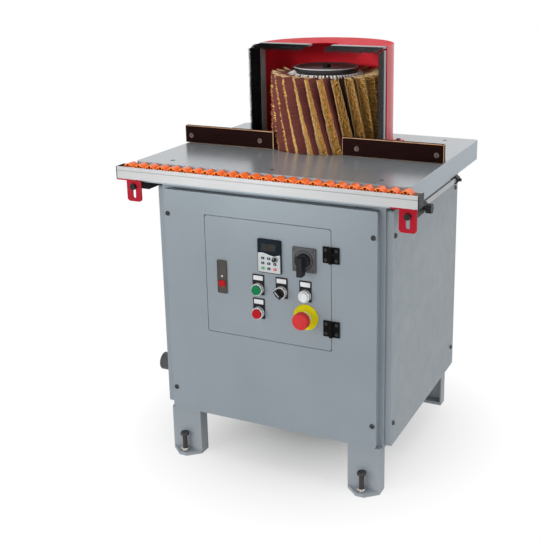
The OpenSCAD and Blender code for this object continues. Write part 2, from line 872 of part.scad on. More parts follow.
// Mounting plate with the speed drive, two contactors and a terminal rail
module drive_panel() {
    plate_z0 = frame_z0 + frame_t + base_gap;
    plate_h = frame_top - rail_h - plate_z0 - base_gap;
    plate_y = drive_y - seat;
    color("gainsboro") {
        difference() {
            translate([-drive_plate_w / 2, plate_y - drive_plate_t, plate_z0])
                cube([drive_plate_w, drive_plate_t, plate_h]);
            at_drive_screws() screw_hole(drive_plate_t + 2 * overrun);
        }
        translate([0, plate_y - drive_plate_t - seat, 0]) {
            translate([-drive_plate_w / 2 + drive_margin, -drive_d, plate_z0 + plate_h * drive_share_z])
                drive_unit();
            for (i = [0, 1])
                translate([-drive_plate_w / 2 + 2 * drive_margin + drive_w + (contactor_w + drive_margin) * i,
                           -contactor_d, plate_z0 + plate_h * contactor_share_z])
                    contactor();
            translate([-drive_plate_w / 2 + drive_margin, -terminal_rail_d, plate_z0 + plate_h * terminal_share_z])
                cube([drive_plate_w - 2 * drive_margin, terminal_rail_d, terminal_rail_h]);
        }
    }
}

module drive_unit() {
    slot_count = 8;
    slot_share = 0.7;
    difference() {
        cube([drive_w, drive_d, drive_h]);
        for (i = [1 : slot_count])
            translate([drive_w * (1 - slot_share) / 2, -overrun, drive_h * i / (slot_count + 1)])
                cube([drive_w * slot_share, drive_slot_d + overrun, drive_slot_w]);
    }
}

module contactor() {
    step_share = 0.3;
    translate([0, contactor_d * step_share, 0])
        cube([contactor_w, contactor_d * (1 - step_share), contactor_h]);
    translate([0, 0, contactor_h * step_share])
        cube([contactor_w, contactor_d, contactor_h * (1 - 2 * step_share)]);
}

// Fasteners: panel, table, fence, hood, motor and drive screws, levelling bolts
module fasteners() {
    color("black") {
        at_front_screws() pan_screw(panel_return + screw_grip);
        at_rear_screws() pan_screw(panel_return + screw_grip);
        at_side_screws() pan_screw(side_tray + screw_grip);
        at_table_screws() flat_screw(table_t + screw_grip);
        at_fence_screws() translate([0, 0, -seat]) flat_screw(fence_t + angle_t);
        at_hood_tabs() translate([hood_tab_x, 0, hood_tab_t + seat]) pan_screw(hood_tab_t + table_t);
        at_motor_bolts() pan_screw(bridge_t + motor_flange_t);
        at_drive_screws() pan_screw(drive_plate_t + screw_grip);
        at_legs() translate([0, -level_reach, 0]) levelling_bolt();
    }
}

module levelling_bolt() {
    cylinder(r = level_r, h = level_h - level_head_h / 2);
    translate([0, 0, level_h - level_head_h]) cylinder(r = level_head_r, h = level_head_h, $fn = 6);
    translate([0, 0, foot_t + seat]) cylinder(r = level_head_r, h = level_nut_h, $fn = 6);
}

// Rod guides inside the table edge, with a nose under it that carries the rod
module rod_guide() {
    nose = rod_r + guide_wall;
    inner_x = table_w / 2 - table_edge_t - seat - guide_lug;
    difference() {
        translate([0, guide_y1, 0]) rotate([90, 0, 0]) linear_extrude(guide_l)
            polygon([[inner_x, rod_z - nose], [rod_x + nose, rod_z - nose],
                     [rod_x + nose, skirt_z - seat], [inner_x + guide_lug, skirt_z - seat],
                     [inner_x + guide_lug, table_z - table_t - seat],
                     [inner_x, table_z - table_t - seat]]);
        translate([rod_x, guide_y1 + overrun, rod_z]) rotate([90, 0, 0])
            cylinder(r = rod_r + run_fit, h = guide_l + 2 * overrun);
        translate([rod_x, clamp_y, rod_z]) rotate([0, 90, 0])
            cylinder(r = bolt_r + run_fit, h = nose + overrun);
    }
}

module rod_guides() {
    color("black") both_sides() rod_guide();
}

module clamp_knob() {
    translate([rod_x + rod_r + hole_fit, clamp_y, rod_z]) rotate([0, 90, 0]) {
        cylinder(r = bolt_r, h = guide_wall + clamp_neck_h + clamp_knob_h / 2);
        translate([0, 0, guide_wall + clamp_neck_h]) difference() {
            cylinder(r = clamp_knob_r, h = clamp_knob_h);
            for (a = [0 : 60 : 300])
                rotate([0, 0, a]) translate([clamp_knob_r + bolt_r / 2, 0, -overrun])
                    cylinder(r = bolt_r, h = clamp_knob_h + 2 * overrun);
        }
    }
}

module clamp_knob_right() {
    color("black") clamp_knob();
}

module clamp_knob_left() {
    color("black") mirror([1, 0, 0]) clamp_knob();
}

// Slide rods with the bracket bolts in front and the stop collars behind
module slide_rod() {
    translate([rod_x, rod_y0, rod_z]) rotate([-90, 0, 0]) {
        difference() {
            cylinder(r = rod_r, h = rod_l);
            translate([0, 0, -overrun]) cylinder(r = bolt_r + run_fit, h = bolt_grip + overrun);
        }
        translate([0, 0, -bracket_t - seat * 2 - bolt_head_h]) {
            cylinder(r = bolt_head_r, h = bolt_head_h, $fn = 6);
            translate([0, 0, bolt_head_h / 2])
                cylinder(r = bolt_r, h = bolt_head_h / 2 + bracket_t + seat + bolt_grip);
        }
        translate([0, 0, rod_l - collar_l]) difference() {
            union() {
                cylinder(r = collar_r, h = collar_l);
                translate([collar_screw_x, 0, collar_l / 2]) rotate([0, 90, 0])
                    cylinder(r = bolt_r, h = collar_r + clamp_neck_h - collar_screw_x);
            }
            translate([0, 0, -overrun]) cylinder(r = rod_r + run_fit, h = collar_l + 2 * overrun);
        }
    }
}

module slide_rods() {
    color("gray") both_sides() slide_rod();
}

// Roller rail: channel with a groove along its front, and the fixed roller axles
function roller_x(i) = (i - (roller_count - 1) / 2) * roller_pitch;

module rail_profile() {
    groove_share_z = 0.68;
    difference() {
        square([rail_d, rail_side_h]);
        translate([rail_t, rail_t]) square([rail_d - 2 * rail_t, rail_side_h]);
        translate([-groove, rail_side_h * groove_share_z]) square([2 * groove, groove]);
    }
}

module roller_rail() {
    color("gainsboro")
    union() {
        translate([-rail_l / 2, rail_y0, rail_z0]) sideways(rail_l) rail_profile();
        for (i = [0 : roller_count - 1])
            translate([roller_x(i), rail_y0 + rail_t / 2, roller_z])
                rotate([-90, 0, 0]) cylinder(r = axle_r, h = rail_d - rail_t);
    }
}

// Roller with a hub, a rim and spokes at both ends
module roller(i) {
    pocket = roller_l * 0.35;
    spoke_count = 6;
    spoke_angle = 14;
    color("orange")
    translate([roller_x(i), rail_y0 + rail_t + roller_end_gap, roller_z]) rotate([-90, 0, 0])
    difference() {
        cylinder(r = roller_r, h = roller_l);
        translate([0, 0, -overrun]) cylinder(r = axle_r + run_fit, h = roller_l + 2 * overrun);
        for (z = [-overrun, roller_l - pocket], k = [0 : spoke_count - 1])
            translate([0, 0, z]) rotate([0, 0, 360 / spoke_count * k + spoke_angle / 2])
                rotate_extrude(angle = 360 / spoke_count - spoke_angle)
                    translate([axle_r + roller_hub_t, 0])
                        square([roller_r - rim_t - axle_r - roller_hub_t, pocket + overrun]);
    }
}

// End caps: an outer plate and a plug in the channel
module rail_end_caps() {
    plug_h = rail_side_h * 0.5;
    color("black") both_sides()
        translate([rail_l / 2 + seat, rail_y0, rail_z0]) {
            sideways(cap_t) square([rail_d, rail_side_h]);
            translate([-cap_plug, rail_t + seat, rail_t + seat])
                cube([cap_plug + cap_t / 2, rail_d - 2 * rail_t - 2 * seat, plug_h]);
        }
}

// Brackets under the rail, slotted for the height adjustment
module rail_bracket() {
    slot_r = bolt_r + slot_fit;
    flange_z = rail_z0 - seat - bracket_t;
    plate_z0 = rod_z - rail_lift - slot_r - bracket_corner_r;
    plate_h = flange_z + bracket_t - plate_z0;
    difference() {
        union() {
            translate([0, bracket_y0, plate_z0 + plate_h / 2])
                upright(bracket_t) rounded_rect(bracket_w, plate_h, bracket_corner_r);
            translate([-bracket_w / 2, bracket_y0, flange_z - bracket_corner_r])
                cube([bracket_w, bracket_t, bracket_corner_r + bracket_t]);
            translate([-bracket_w / 2 - bracket_tail, rail_y0 + rail_t, flange_z])
                cube([bracket_w + bracket_tail, rail_d - rail_t, bracket_t]);
        }
        for (z = [rod_z - rail_lift, rod_z])
            translate([0, bracket_y0 - overrun, z]) rotate([-90, 0, 0])
                cylinder(r = slot_r, h = bracket_t + 2 * overrun);
        translate([-slot_r, bracket_y0 - overrun, rod_z - rail_lift])
            cube([2 * slot_r, bracket_t + 2 * overrun, rail_lift]);
    }
}

module rail_brackets() {
    color("red")
    for (sx = [-1, 1]) translate([sx * rod_x, 0, 0]) rail_bracket();
}

// Control door, hinges and latch
module control_door() {
    color("lightsteelblue")
    difference() {
        translate([0, panel_y, door_mid_z])
            tray(door_w - 2 * door_gap, door_h - 2 * door_gap, door_return);
        for (s = [start_shares, stop_shares, selector_shares, lamp_shares, estop_shares])
            at_control(s) control_hole(barrel_r);
        at_control(switch_shares) control_hole(switch_stem_r);
        at_control(keypad_shares) translate([0, 0, -sheet_t - overrun])
            linear_extrude(sheet_t + 2 * overrun)
                square([keypad_w, keypad_h] * keypad_back_share + [hole_fit, hole_fit] * 2, center = true);
        at_control(latch_shares) translate([0, 0, -sheet_t - overrun])
            linear_extrude(sheet_t + 2 * overrun)
                square([latch_w - 2 * latch_rim + hole_fit, latch_h - 2 * latch_rim + hole_fit],
                       center = true);
    }
}

module control_hole(r) {
    translate([0, 0, -sheet_t - overrun]) cylinder(r = r + hole_fit, h = sheet_t + 2 * overrun);
}

// One hinge leaf on the -X side of the pin, with its knuckles in given thirds
module hinge_leaf(thirds) {
    third = hinge_h / 3;
    plate_w = hinge_w / 2 - knuckle_r - seat * 2;
    plate_y = panel_y - seat - hinge_t;
    difference() {
        union() {
            translate([-hinge_w / 2, plate_y, -hinge_h / 2]) cube([plate_w, hinge_t, hinge_h]);
            for (k = thirds) translate([0, 0, -hinge_h / 2 + third * k + seat]) {
                translate([0, hinge_y, 0]) cylinder(r = knuckle_r, h = third - 2 * seat);
                translate([-hinge_w / 2, plate_y, 0]) cube([hinge_w / 2, hinge_t / 2, third - 2 * seat]);
            }
        }
        translate([0, hinge_y, -hinge_h / 2 - overrun])
            cylinder(r = hinge_pin_r + run_fit, h = hinge_h + 2 * overrun);
    }
}

module at_hinges() {
    for (s = hinge_share_z) translate([hinge_x, 0, door_z0 + door_h * s]) children();
}

module hinge_door_leaves() {
    color("black") at_hinges() hinge_leaf([1]);
}

module hinge_fixed_leaves() {
    color("black") at_hinges() {
        mirror([1, 0, 0]) hinge_leaf([0, 2]);
        translate([0, hinge_y, -hinge_h / 2]) cylinder(r = hinge_pin_r, h = hinge_h);
        for (z = [-hinge_h / 2, hinge_h / 2 - hinge_t])
            translate([0, hinge_y, z]) cylinder(r = knuckle_r - seat, h = hinge_t);
    }
}

// Legend plates, the round disc under the mushroom head and the main switch plate
module legend_plates() {
    legend_share_z = 0.2;
    color("black") {
        for (s = [start_shares, stop_shares, selector_shares, lamp_shares])
            at_control(s) translate([0, 0, seat]) linear_extrude(legend_t) difference() {
                translate([0, legend_h * legend_share_z]) square([legend_w, legend_h], center = true);
                circle(barrel_r + hole_fit);
            }
        at_control(estop_shares) translate([0, 0, seat]) linear_extrude(legend_t) difference() {
            circle(stop_disc_r);
            circle(barrel_r + hole_fit);
        }
        at_control(switch_shares) translate([0, 0, seat]) linear_extrude(switch_t) difference() {
            rounded_rect(switch_w, switch_w, switch_t / 2);
            circle(switch_stem_r + hole_fit);
        }
    }
}

// Bezels with their barrels and contact blocks behind the door, and the pilot lamp lens
module bezel() {
    front = legend_t + 2 * seat;
    difference() {
        union() {
            translate([0, 0, front]) cylinder(r = bezel_r, h = bezel_h);
            translate([0, 0, -barrel_l]) cylinder(r = barrel_r, h = barrel_l + front + seat);
            translate([0, 0, -sheet_t - seat - front]) cylinder(r = bezel_r, h = front);
            translate([-block_w / 2, -block_w / 2, -barrel_l - block_l])
                cube([block_w, block_w, block_l + seat]);
        }
        translate([0, 0, front + bezel_h - bezel_recess])
            cylinder(r = cap_r + hole_fit, h = bezel_recess + overrun);
        translate([0, 0, front + bezel_h - bezel_recess - stem_l - stop_travel])
            cylinder(r = stem_r + run_fit, h = stem_l + stop_travel + overrun);
    }
}

module control_bezels() {
    color("silver") {
        for (s = [start_shares, stop_shares, selector_shares, lamp_shares, estop_shares])
            at_control(s) bezel();
        at_control(lamp_shares) button_cap(cap_proud);
        at_control(switch_shares)
            translate([-switch_body_w / 2, -switch_body_w / 2, -sheet_t - seat - switch_body_l])
                difference() {
                    cube([switch_body_w, switch_body_w, switch_body_l]);
                    translate([switch_body_w / 2, switch_body_w / 2, switch_body_l - switch_stem_l])
                        cylinder(r = switch_stem_r + run_fit, h = switch_stem_l + overrun);
                }
    }
}

// Round cap on a stem that slides in the barrel
module button_cap(proud) {
    front = legend_t + 2 * seat + bezel_h;
    translate([0, 0, front + proud - cap_h]) cylinder(r = cap_r, h = cap_h);
    translate([0, 0, front - bezel_recess - stem_l + hole_fit])
        cylinder(r = stem_r, h = stem_l + bezel_recess + proud - cap_h);
}

module start_button() {
    color("green") at_control(start_shares) button_cap(cap_proud);
}

module stop_button() {
    color("red") at_control(stop_shares) button_cap(cap_proud);
}

module selector_knob() {
    front = legend_t + 2 * seat + bezel_h;
    color("black") at_control(selector_shares) {
        button_cap(cap_proud);
        rotate([0, 0, 45]) translate([-selector_handle_w / 2, -cap_r, front + cap_proud - seat])
            cube([selector_handle_w, 2 * cap_r, selector_handle_h]);
    }
}

module estop_head() {
    front = legend_t + 2 * seat + bezel_h;
    head_gap = stop_travel + 2 * seat + hole_fit;
    edge_r = stop_head_h / 4;
    color("red") at_control(estop_shares) {
        translate([0, 0, front + head_gap]) rotate_extrude() {
            square([stop_head_r - edge_r, stop_head_h]);
            square([stop_head_r, stop_head_h - edge_r]);
            translate([stop_head_r - edge_r, stop_head_h - edge_r]) circle(edge_r);
        }
        translate([0, 0, front - bezel_recess - stem_l + hole_fit])
            cylinder(r = stem_r, h = stem_l + bezel_recess + head_gap + seat);
    }
}

// Speed keypad with raised keys and a small turning knob
module at_key(col, row) {
    translate([keypad_w * (key_shares_x[col] - 0.5), keypad_h * (key_shares_z[row] - 0.5), 0]) children();
}

module speed_keypad() {
    color("midnightblue") at_control(keypad_shares)
    difference() {
        union() {
            translate([0, 0, seat]) linear_extrude(keypad_t) rounded_rect(keypad_w, keypad_h, keypad_corner_r);
            translate([0, 0, -keypad_back_l]) linear_extrude(keypad_back_l + 2 * seat)
                square([keypad_w, keypad_h] * keypad_back_share, center = true);
            for (c = [0 : 2], r = [0 : 2]) if (c < 2 || r > 0)
                at_key(c, r) translate([0, 0, seat + keypad_t / 2]) linear_extrude(keypad_t / 2 + key_t)
                    square([key_w, key_h], center = true);
        }
        at_key(2, 0) translate([0, 0, seat + keypad_t - knob_stem_l])
            cylinder(r = knob_stem_r + run_fit, h = knob_stem_l + overrun);
    }
}

module keypad_knob() {
    color("black") at_control(keypad_shares) at_key(2, 0)
        translate([0, 0, seat + keypad_t]) difference() {
            union() {
                translate([0, 0, seat]) cylinder(r = keypad_knob_r, h = keypad_knob_h);
                translate([0, 0, seat - knob_stem_l + hole_fit]) cylinder(r = knob_stem_r, h = knob_stem_l);
            }
            translate([-pointer_w / 2, 0, keypad_knob_h + seat - pointer_w])
                cube([pointer_w, keypad_knob_r, pointer_w + overrun]);
        }
}

// Flush latch with a push button
module latch_body() {
    button_z = latch_h * (latch_button_share - 0.5);
    dish = latch_t * 0.4;
    color("gray") at_control(latch_shares)
    difference() {
        union() {
            translate([0, 0, seat]) linear_extrude(latch_t) rounded_rect(latch_w, latch_h, latch_rim);
            translate([0, 0, -latch_case_l]) linear_extrude(latch_case_l + 2 * seat)
                square([latch_w - 2 * latch_rim, latch_h - 2 * latch_rim], center = true);
        }
        translate([0, 0, seat + latch_t - dish]) linear_extrude(dish + overrun)
            rounded_rect(latch_w - latch_rim, latch_h - latch_rim, latch_rim / 2);
        translate([0, button_z, -latch_travel - latch_t]) linear_extrude(latch_travel + 3 * latch_t)
            square([latch_w - 2 * latch_rim - latch_rim, latch_button_h], center = true);
    }
}

module latch_button() {
    button_z = latch_h * (latch_button_share - 0.5);
    color("red") at_control(latch_shares)
        translate([0, button_z, -latch_t + hole_fit]) linear_extrude(2 * latch_t + latch_proud - hole_fit)
            square([latch_w - 3 * latch_rim - hole_fit, latch_button_h - hole_fit], center = true);
}

// Main switch knob: a disc with a handle that points down
module main_switch_knob() {
    front = switch_t + 2 * seat;
    handle_l = switch_w * 0.56;
    color("black") at_control(switch_shares) {
        translate([0, 0, front]) cylinder(r = switch_knob_r, h = switch_knob_h);
        translate([0, 0, -switch_stem_l + hole_fit])
            cylinder(r = switch_stem_r, h = switch_stem_l + front + switch_knob_h / 2);
        translate([-switch_handle_w / 2, -handle_l, front + switch_knob_h / 2])
            cube([switch_handle_w, handle_l + switch_knob_r * 0.7, switch_knob_h / 2 + switch_handle_h]);
    }
}

// Spindle: motor shaft and a slotted hub with a lower flange
module at_packs() {
    translate([brush_x, brush_y, brush_mid_z])
        for (k = [0 : flap_count - 1])
            rotate([0, 0, 360 / flap_count * k]) rotate([flap_tilt, 0, 0]) children();
}

module spindle_hub() {
    neck_t = flap_t + bristle_t + pack_gap + 2 * seat;
    slot_l = pack_l + 4 * hub_flange_h;
    color("silver")
    union() {
        difference() {
            translate([brush_x, brush_y, brush_z0]) cylinder(r = hub_r, h = brush_h);
            at_packs() {
                translate([root_r, -bristle_t - pack_gap / 2 - seat, -slot_l / 2])
                    cube([hub_r, neck_t, slot_l]);
                translate([root_r - bead_d - seat, -bristle_t - pack_gap / 2 - seat - bead_w, -slot_l / 2])
                    cube([bead_d + 2 * seat, neck_t + 2 * bead_w, slot_l]);
            }
        }
        translate([brush_x, brush_y, hub_z0]) {
            cylinder(r = root_r - bead_d - bead_w, h = hub_flange_gap + hub_flange_h);
            translate([0, 0, hub_flange_gap - hub_flange_h]) cylinder(r = hub_r, h = hub_flange_h);
        }
        translate([brush_x, brush_y, motor_top - motor_bore_l + seat])
            cylinder(r = shaft_r, h = hub_z0 - motor_top + motor_bore_l + hub_flange_h);
    }
}

// Clamp disc on top of the hub, dished, with a raised rim and a centre bolt
module clamp_disc() {
    color("dimgray")
    translate([brush_x, brush_y, brush_z0 + brush_h + seat]) {
        rotate_extrude()
            polygon([[0, 0], [clamp_disc_r - disc_rim, 0], [clamp_disc_r, disc_lip], [clamp_disc_r, clamp_disc_h],
                     [clamp_disc_r - disc_rim, clamp_disc_h], [clamp_disc_r - 2 * disc_rim, clamp_disc_h - disc_lip],
                     [0, clamp_disc_h - disc_lip]]);
        translate([0, 0, clamp_disc_h - disc_lip]) cylinder(r = level_head_r, h = level_head_h, $fn = 6);
    }
}

// Length of a leaning flap until it meets the brush radius, at height h along the pack
function pack_reach(h) =
    let (t = -h * sin(flap_tilt),
         b = bend_r * cos(flap_lean) - t * sin(flap_lean))
    sqrt(b * b - bend_r * bend_r - t * t + brush_r * brush_r) - b;

// Root of a pack: plate in the slot with a bead at its inner end
module pack_root(y, t, bead_y, l) {
    translate([root_r - bead_d, y, -l / 2]) cube([bend_r - root_r + bead_d, t, l]);
    translate([root_r - bead_d, bead_y, -l / 2]) cube([bead_d, t + bead_w, l]);
}

module brush_flaps() {
    steps = 8;
    color("brown") at_packs() {
        pack_root(pack_gap / 2, flap_t, pack_gap / 2, pack_l);
        translate([bend_r, 0, 0]) rotate([0, 0, -flap_lean]) translate([0, flap_t + pack_gap, 0])
            rotate([90, 0, 0]) linear_extrude(flap_t)
                polygon(concat(
                    [[-flap_t / 2, pack_l / 2], [-flap_t / 2, -pack_l / 2]],
                    [for (i = [0 : steps]) let (h = pack_l * (i / steps - 0.5)) [pack_reach(h) - flap_t, h]]));
    }
}

// Bristle strips: a root strip and a comb of strands behind each flap
module flap_bristles() {
    color("goldenrod") at_packs() {
        pack_root(-pack_gap / 2 - bristle_t, bristle_t, -pack_gap / 2 - bristle_t - bead_w, strip_l);
        translate([bend_r, 0, 0]) rotate([0, 0, -flap_lean]) translate([0, -pack_gap, 0])
            rotate([90, 0, 0]) linear_extrude(bristle_t)
                polygon(concat(
                    [[0, strip_l / 2], [0, -strip_l / 2]],
                    [for (i = [0 : strand_count - 1]) let (h = strand_pitch * (i + 0.5) - strip_l / 2)
                        each [[white_l, h - strand_w], [pack_reach(h) - bristle_t, h - strand_w / 2],
                              [pack_reach(h) - bristle_t, h + strand_w / 2], [white_l, h + strand_w]]]));
    }
}

// Round power inlet on the left side panel
module at_inlet() {
    translate([-side_x, side_y0 + inlet_y, panel_z0 + inlet_z]) rotate([0, -90, 0]) children();
}

module power_inlet() {
    flange_w = 2 * inlet_r + 4 * sheet_t;
    pin_count = 5;
    pin_share = 0.5;
    socket_l = inlet_l * 0.7;
    color("dimgray") at_inlet() {
        difference() {
            union() {
                translate([0, 0, seat]) linear_extrude(sheet_t) rounded_rect(flange_w, flange_w, inlet_wall);
                translate([0, 0, seat]) cylinder(r = inlet_r, h = inlet_l);
                translate([0, 0, -side_tray * 0.6]) cylinder(r = inlet_r - sheet_t, h = side_tray);
            }
            translate([0, 0, inlet_l - socket_l]) cylinder(r = inlet_r - inlet_wall, h = socket_l + overrun);
        }
        for (k = [0 : pin_count - 1])
            rotate([0, 0, 360 / pin_count * k]) translate([inlet_r * pin_share, 0, inlet_l - socket_l - inlet_wall])
                cylinder(r = inlet_pin_r, h = socket_l);
    }
}

cabinet_frame();
front_panel();
cover_panels();
work_table();
fences();
dust_hood();
hood_brush_strips();
brush_motor();
drive_panel();
fasteners();
rod_guides();
hinge_fixed_leaves();
power_inlet();
slide_rods();
clamp_knob_left();
clamp_knob_right();
roller_rail();
rail_end_caps();
rail_brackets();
control_door();
hinge_door_leaves();
legend_plates();
control_bezels();
speed_keypad();
keypad_knob();
latch_body();
latch_button();
main_switch_knob();
start_button();
stop_button();
selector_knob();
estop_head();
spindle_hub();
clamp_disc();
brush_flaps();
flap_bristles();
for (i = [0 : roller_count - 1]) roller(i);
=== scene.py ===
import math
import random

import bmesh
import bpy
from mathutils import Matrix, Vector


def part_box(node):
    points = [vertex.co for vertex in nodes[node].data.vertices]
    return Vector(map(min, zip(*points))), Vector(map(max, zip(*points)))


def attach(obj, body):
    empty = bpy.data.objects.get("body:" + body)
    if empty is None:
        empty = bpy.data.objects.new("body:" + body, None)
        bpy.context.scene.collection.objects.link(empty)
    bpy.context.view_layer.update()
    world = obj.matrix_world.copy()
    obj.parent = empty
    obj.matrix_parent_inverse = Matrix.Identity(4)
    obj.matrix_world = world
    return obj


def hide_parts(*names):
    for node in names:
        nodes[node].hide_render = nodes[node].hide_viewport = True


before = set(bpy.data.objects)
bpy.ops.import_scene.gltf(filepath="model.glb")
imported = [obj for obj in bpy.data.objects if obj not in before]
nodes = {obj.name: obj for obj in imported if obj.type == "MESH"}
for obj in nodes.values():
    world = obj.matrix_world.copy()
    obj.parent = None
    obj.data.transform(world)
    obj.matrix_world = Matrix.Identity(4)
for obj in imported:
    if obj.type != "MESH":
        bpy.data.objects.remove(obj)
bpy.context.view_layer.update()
dice = random.Random(23)
mm = 0.001
print("frame loaded,", len(nodes), "nodes")

# places that several pieces share, in metres
machine = {"tableTop": 0.75, "hoodAxis": (-0.005, 0.0875), "hoodRadius": 0.170, "hoodLow": 0.7502,
           "hoodHigh": 1.0062}

# camera, in metres and degrees; the focal length is in pixels of a 540 x 540 image
view = {"place": (0.9555, -2.1017, 1.2346), "azimuth": 23.91, "elevation": 15.23, "roll": -0.43,
        "focal": 940.2, "pixels": 540, "shift": (-0.10, -0.12), "sensor": 36, "farthest": 60}


def boxMiddle(name):
    low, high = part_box(name)
    return (low + high) / 2


def setCamera(v):
    az, el, roll = (math.radians(v[k]) for k in ("azimuth", "elevation", "roll"))
    right = Vector((math.cos(az), math.sin(az), 0))
    ahead = Vector((-math.sin(az) * math.cos(el), math.cos(az) * math.cos(el), -math.sin(el)))
    up = right.cross(ahead)
    side = right * math.cos(roll) + up * math.sin(roll)
    top = up * math.cos(roll) - right * math.sin(roll)
    data = bpy.data.cameras.new("camera")
    data.sensor_width = v["sensor"]
    data.lens = v["sensor"] * v["focal"] / v["pixels"]
    data.shift_x, data.shift_y = v["shift"]
    data.clip_end = v["farthest"]
    cam = bpy.data.objects.new("camera", data)
    cam.matrix_world = Matrix.Translation(v["place"]) @ Matrix((side, top, -ahead)).transposed().to_4x4()
    bpy.context.scene.collection.objects.link(cam)
    bpy.context.scene.camera = cam


setCamera(view)
bpy.context.scene.view_settings.view_transform = "Standard"


# small helpers for shader nodes
def startTree(owner, output):
    owner.use_nodes = True
    tree = owner.node_tree
    tree.nodes.clear()
    return tree, tree.nodes.new(output).inputs["Surface"]


def setSocket(tree, socket, value):
    if isinstance(value, bpy.types.NodeSocket):
        tree.links.new(value, socket)
    elif isinstance(value, tuple) and len(value) == 3 and socket.type == "RGBA":
        socket.default_value = (*value, 1)
    else:
        socket.default_value = value


def put(tree, kind, settings=None, ordered=(), **named):
    node = tree.nodes.new(kind)
    for key, value in (settings or {}).items():
        setattr(node, key, value)
    for key, value in [*enumerate(ordered), *named.items()]:
        setSocket(tree, node.inputs[key], value)
    return node


def spot(tree):
    return put(tree, "ShaderNodeTexCoord").outputs["Object"]


def geometry(tree, kind):
    return put(tree, "ShaderNodeNewGeometry").outputs[kind]


# the tree that a socket belongs to
def treeOf(*values):
    return next(value.id_data for value in values if isinstance(value, bpy.types.NodeSocket))


def parts(vector):
    return put(treeOf(vector), "ShaderNodeSeparateXYZ", Vector=vector).outputs


def cloud(where, scale, detail=3.0, rough=0.5):
    return put(treeOf(where), "ShaderNodeTexNoise", Vector=where, Scale=scale, Detail=detail,
               Roughness=rough).outputs["Fac"]


# noise drawn out along the axis with the smallest stretch
def streaks(tree, stretch, detail=4, rough=0.6):
    where = put(tree, "ShaderNodeMapping", Vector=spot(tree), Scale=stretch).outputs["Vector"]
    return cloud(where, 1.0, detail, rough)


def remap(value, a, b, low=0, high=1):
    return put(treeOf(value), "ShaderNodeMapRange", None, (value, a, b, low, high)).outputs["Result"]


# noise keeps near one half, so its middle is spread over the whole range
def spread(noise, low=0, high=1):
    return remap(noise, 0.3, 0.7, low, high)


def blend(factor, first, second, mode="MIX"):
    tree = treeOf(factor, first, second)
    node = put(tree, "ShaderNodeMix", {"data_type": "RGBA", "blend_type": mode})
    for index, value in ((0, factor), (6, first), (7, second)):
        setSocket(tree, node.inputs[index], value)
    return node.outputs[2]


def sums(kind, *values):
    return put(treeOf(*values), "ShaderNodeMath", {"operation": kind}, values).outputs[0]


def vectorSums(kind, *values):
    return put(treeOf(*values), "ShaderNodeVectorMath", {"operation": kind}, values).outputs


def bumped(height, strength, depth):
    return put(treeOf(height), "ShaderNodeBump", Height=height, Strength=strength,
               Distance=depth).outputs["Normal"]


def distance(x, y):
    return sums("SQRT", sums("ADD", sums("MULTIPLY", x, x), sums("MULTIPLY", y, y)))


# distance from an upright axis
def axisReach(tree, axis):
    off = parts(vectorSums("SUBTRACT", spot(tree), (*axis, 0))[0])
    return distance(off["X"], off["Y"])


# above 0 along outside edges, 0 on flats, broken up a little
def edgeWear(tree, reach, amount):
    rounded = put(tree, "ShaderNodeBevel", {"samples": 4}, Radius=reach).outputs["Normal"]
    alike = vectorSums("DOT_PRODUCT", rounded, geometry(tree, "Normal"))["Value"]
    patchy = remap(cloud(spot(tree), 60, 4), 0.35, 0.7, 0.2, 1)
    return sums("MULTIPLY", remap(alike, 0.99, 0.8, 0, amount), patchy)


shaderSockets = {"base": "Base Color", "rough": "Roughness", "normal": "Normal", "metal": "Metallic",
                 "gloss": "Specular IOR Level", "sheen": "Sheen Weight", "coat": "Coat Weight",
                 "coatRough": "Coat Roughness"}


def principled(tree, **values):
    shader = put(tree, "ShaderNodeBsdfPrincipled")
    for key, value in values.items():
        setSocket(tree, shader.inputs[shaderSockets[key]], value)
    return shader.outputs["BSDF"]


def scaled(colour, share):
    return tuple(c * share for c in colour)


def lighter(colour, share):
    return tuple(c + (1 - c) * share for c in colour)


# stove-enamelled sheet: fine orange peel, faint clouding, paler edges
def enamel(tree, colour, rough=0.42, peel=0.10, grain=900, wear=0.35, gloss=0.45, paintedFloorBounce=0, shell=None):
    where = spot(tree)
    fine = cloud(where, grain, 2)
    base = blend(spread(cloud(where, 5, 4)), scaled(colour, 0.955), lighter(colour, 0.025))
    base = blend(remap(fine, 0.35, 0.65, 0, 0.22), base, scaled(colour, 0.86))
    base = blend(edgeWear(tree, 2.2 * mm, wear), base, lighter(colour, 0.3))
    if paintedFloorBounce:  # painted light: paler towards the floor, as if lit by light bounced up from it
        low = remap(parts(where)["Z"], 0.13, 0.02, 0, paintedFloorBounce)
        base = blend(low, base, lighter(colour, 0.35))
    coat = {}
    if shell:  # clear gloss on the outside of a round shell only, because dust dulls the inside
        axis, radius = shell
        outside = remap(axisReach(tree, axis), radius - 1.2 * mm, radius - 0.6 * mm, 0, 0.8)
        coat = {"coat": outside, "coatRough": 0.3}
    return principled(tree, base=base, normal=bumped(fine, peel, 0.4 * mm), gloss=gloss, **coat,
                      rough=spread(cloud(where, 35, 5), rough - 0.06, rough + 0.06))


# moulded plastic: faint spark-erosion grain and handling gloss
def moulded(tree, colour, rough=0.45, grain=1500, peel=0.12, wear=0.25, gloss=0.5):
    where = spot(tree)
    base = blend(spread(cloud(where, 24)), scaled(colour, 0.88), scaled(colour, 1.06))
    base = blend(edgeWear(tree, 1.2 * mm, wear), base, lighter(colour, 0.22))
    return principled(tree, base=base, gloss=gloss,
                      rough=spread(cloud(where, 90), rough - 0.08, rough + 0.08),
                      normal=bumped(cloud(where, grain, 2), peel, 0.2 * mm))


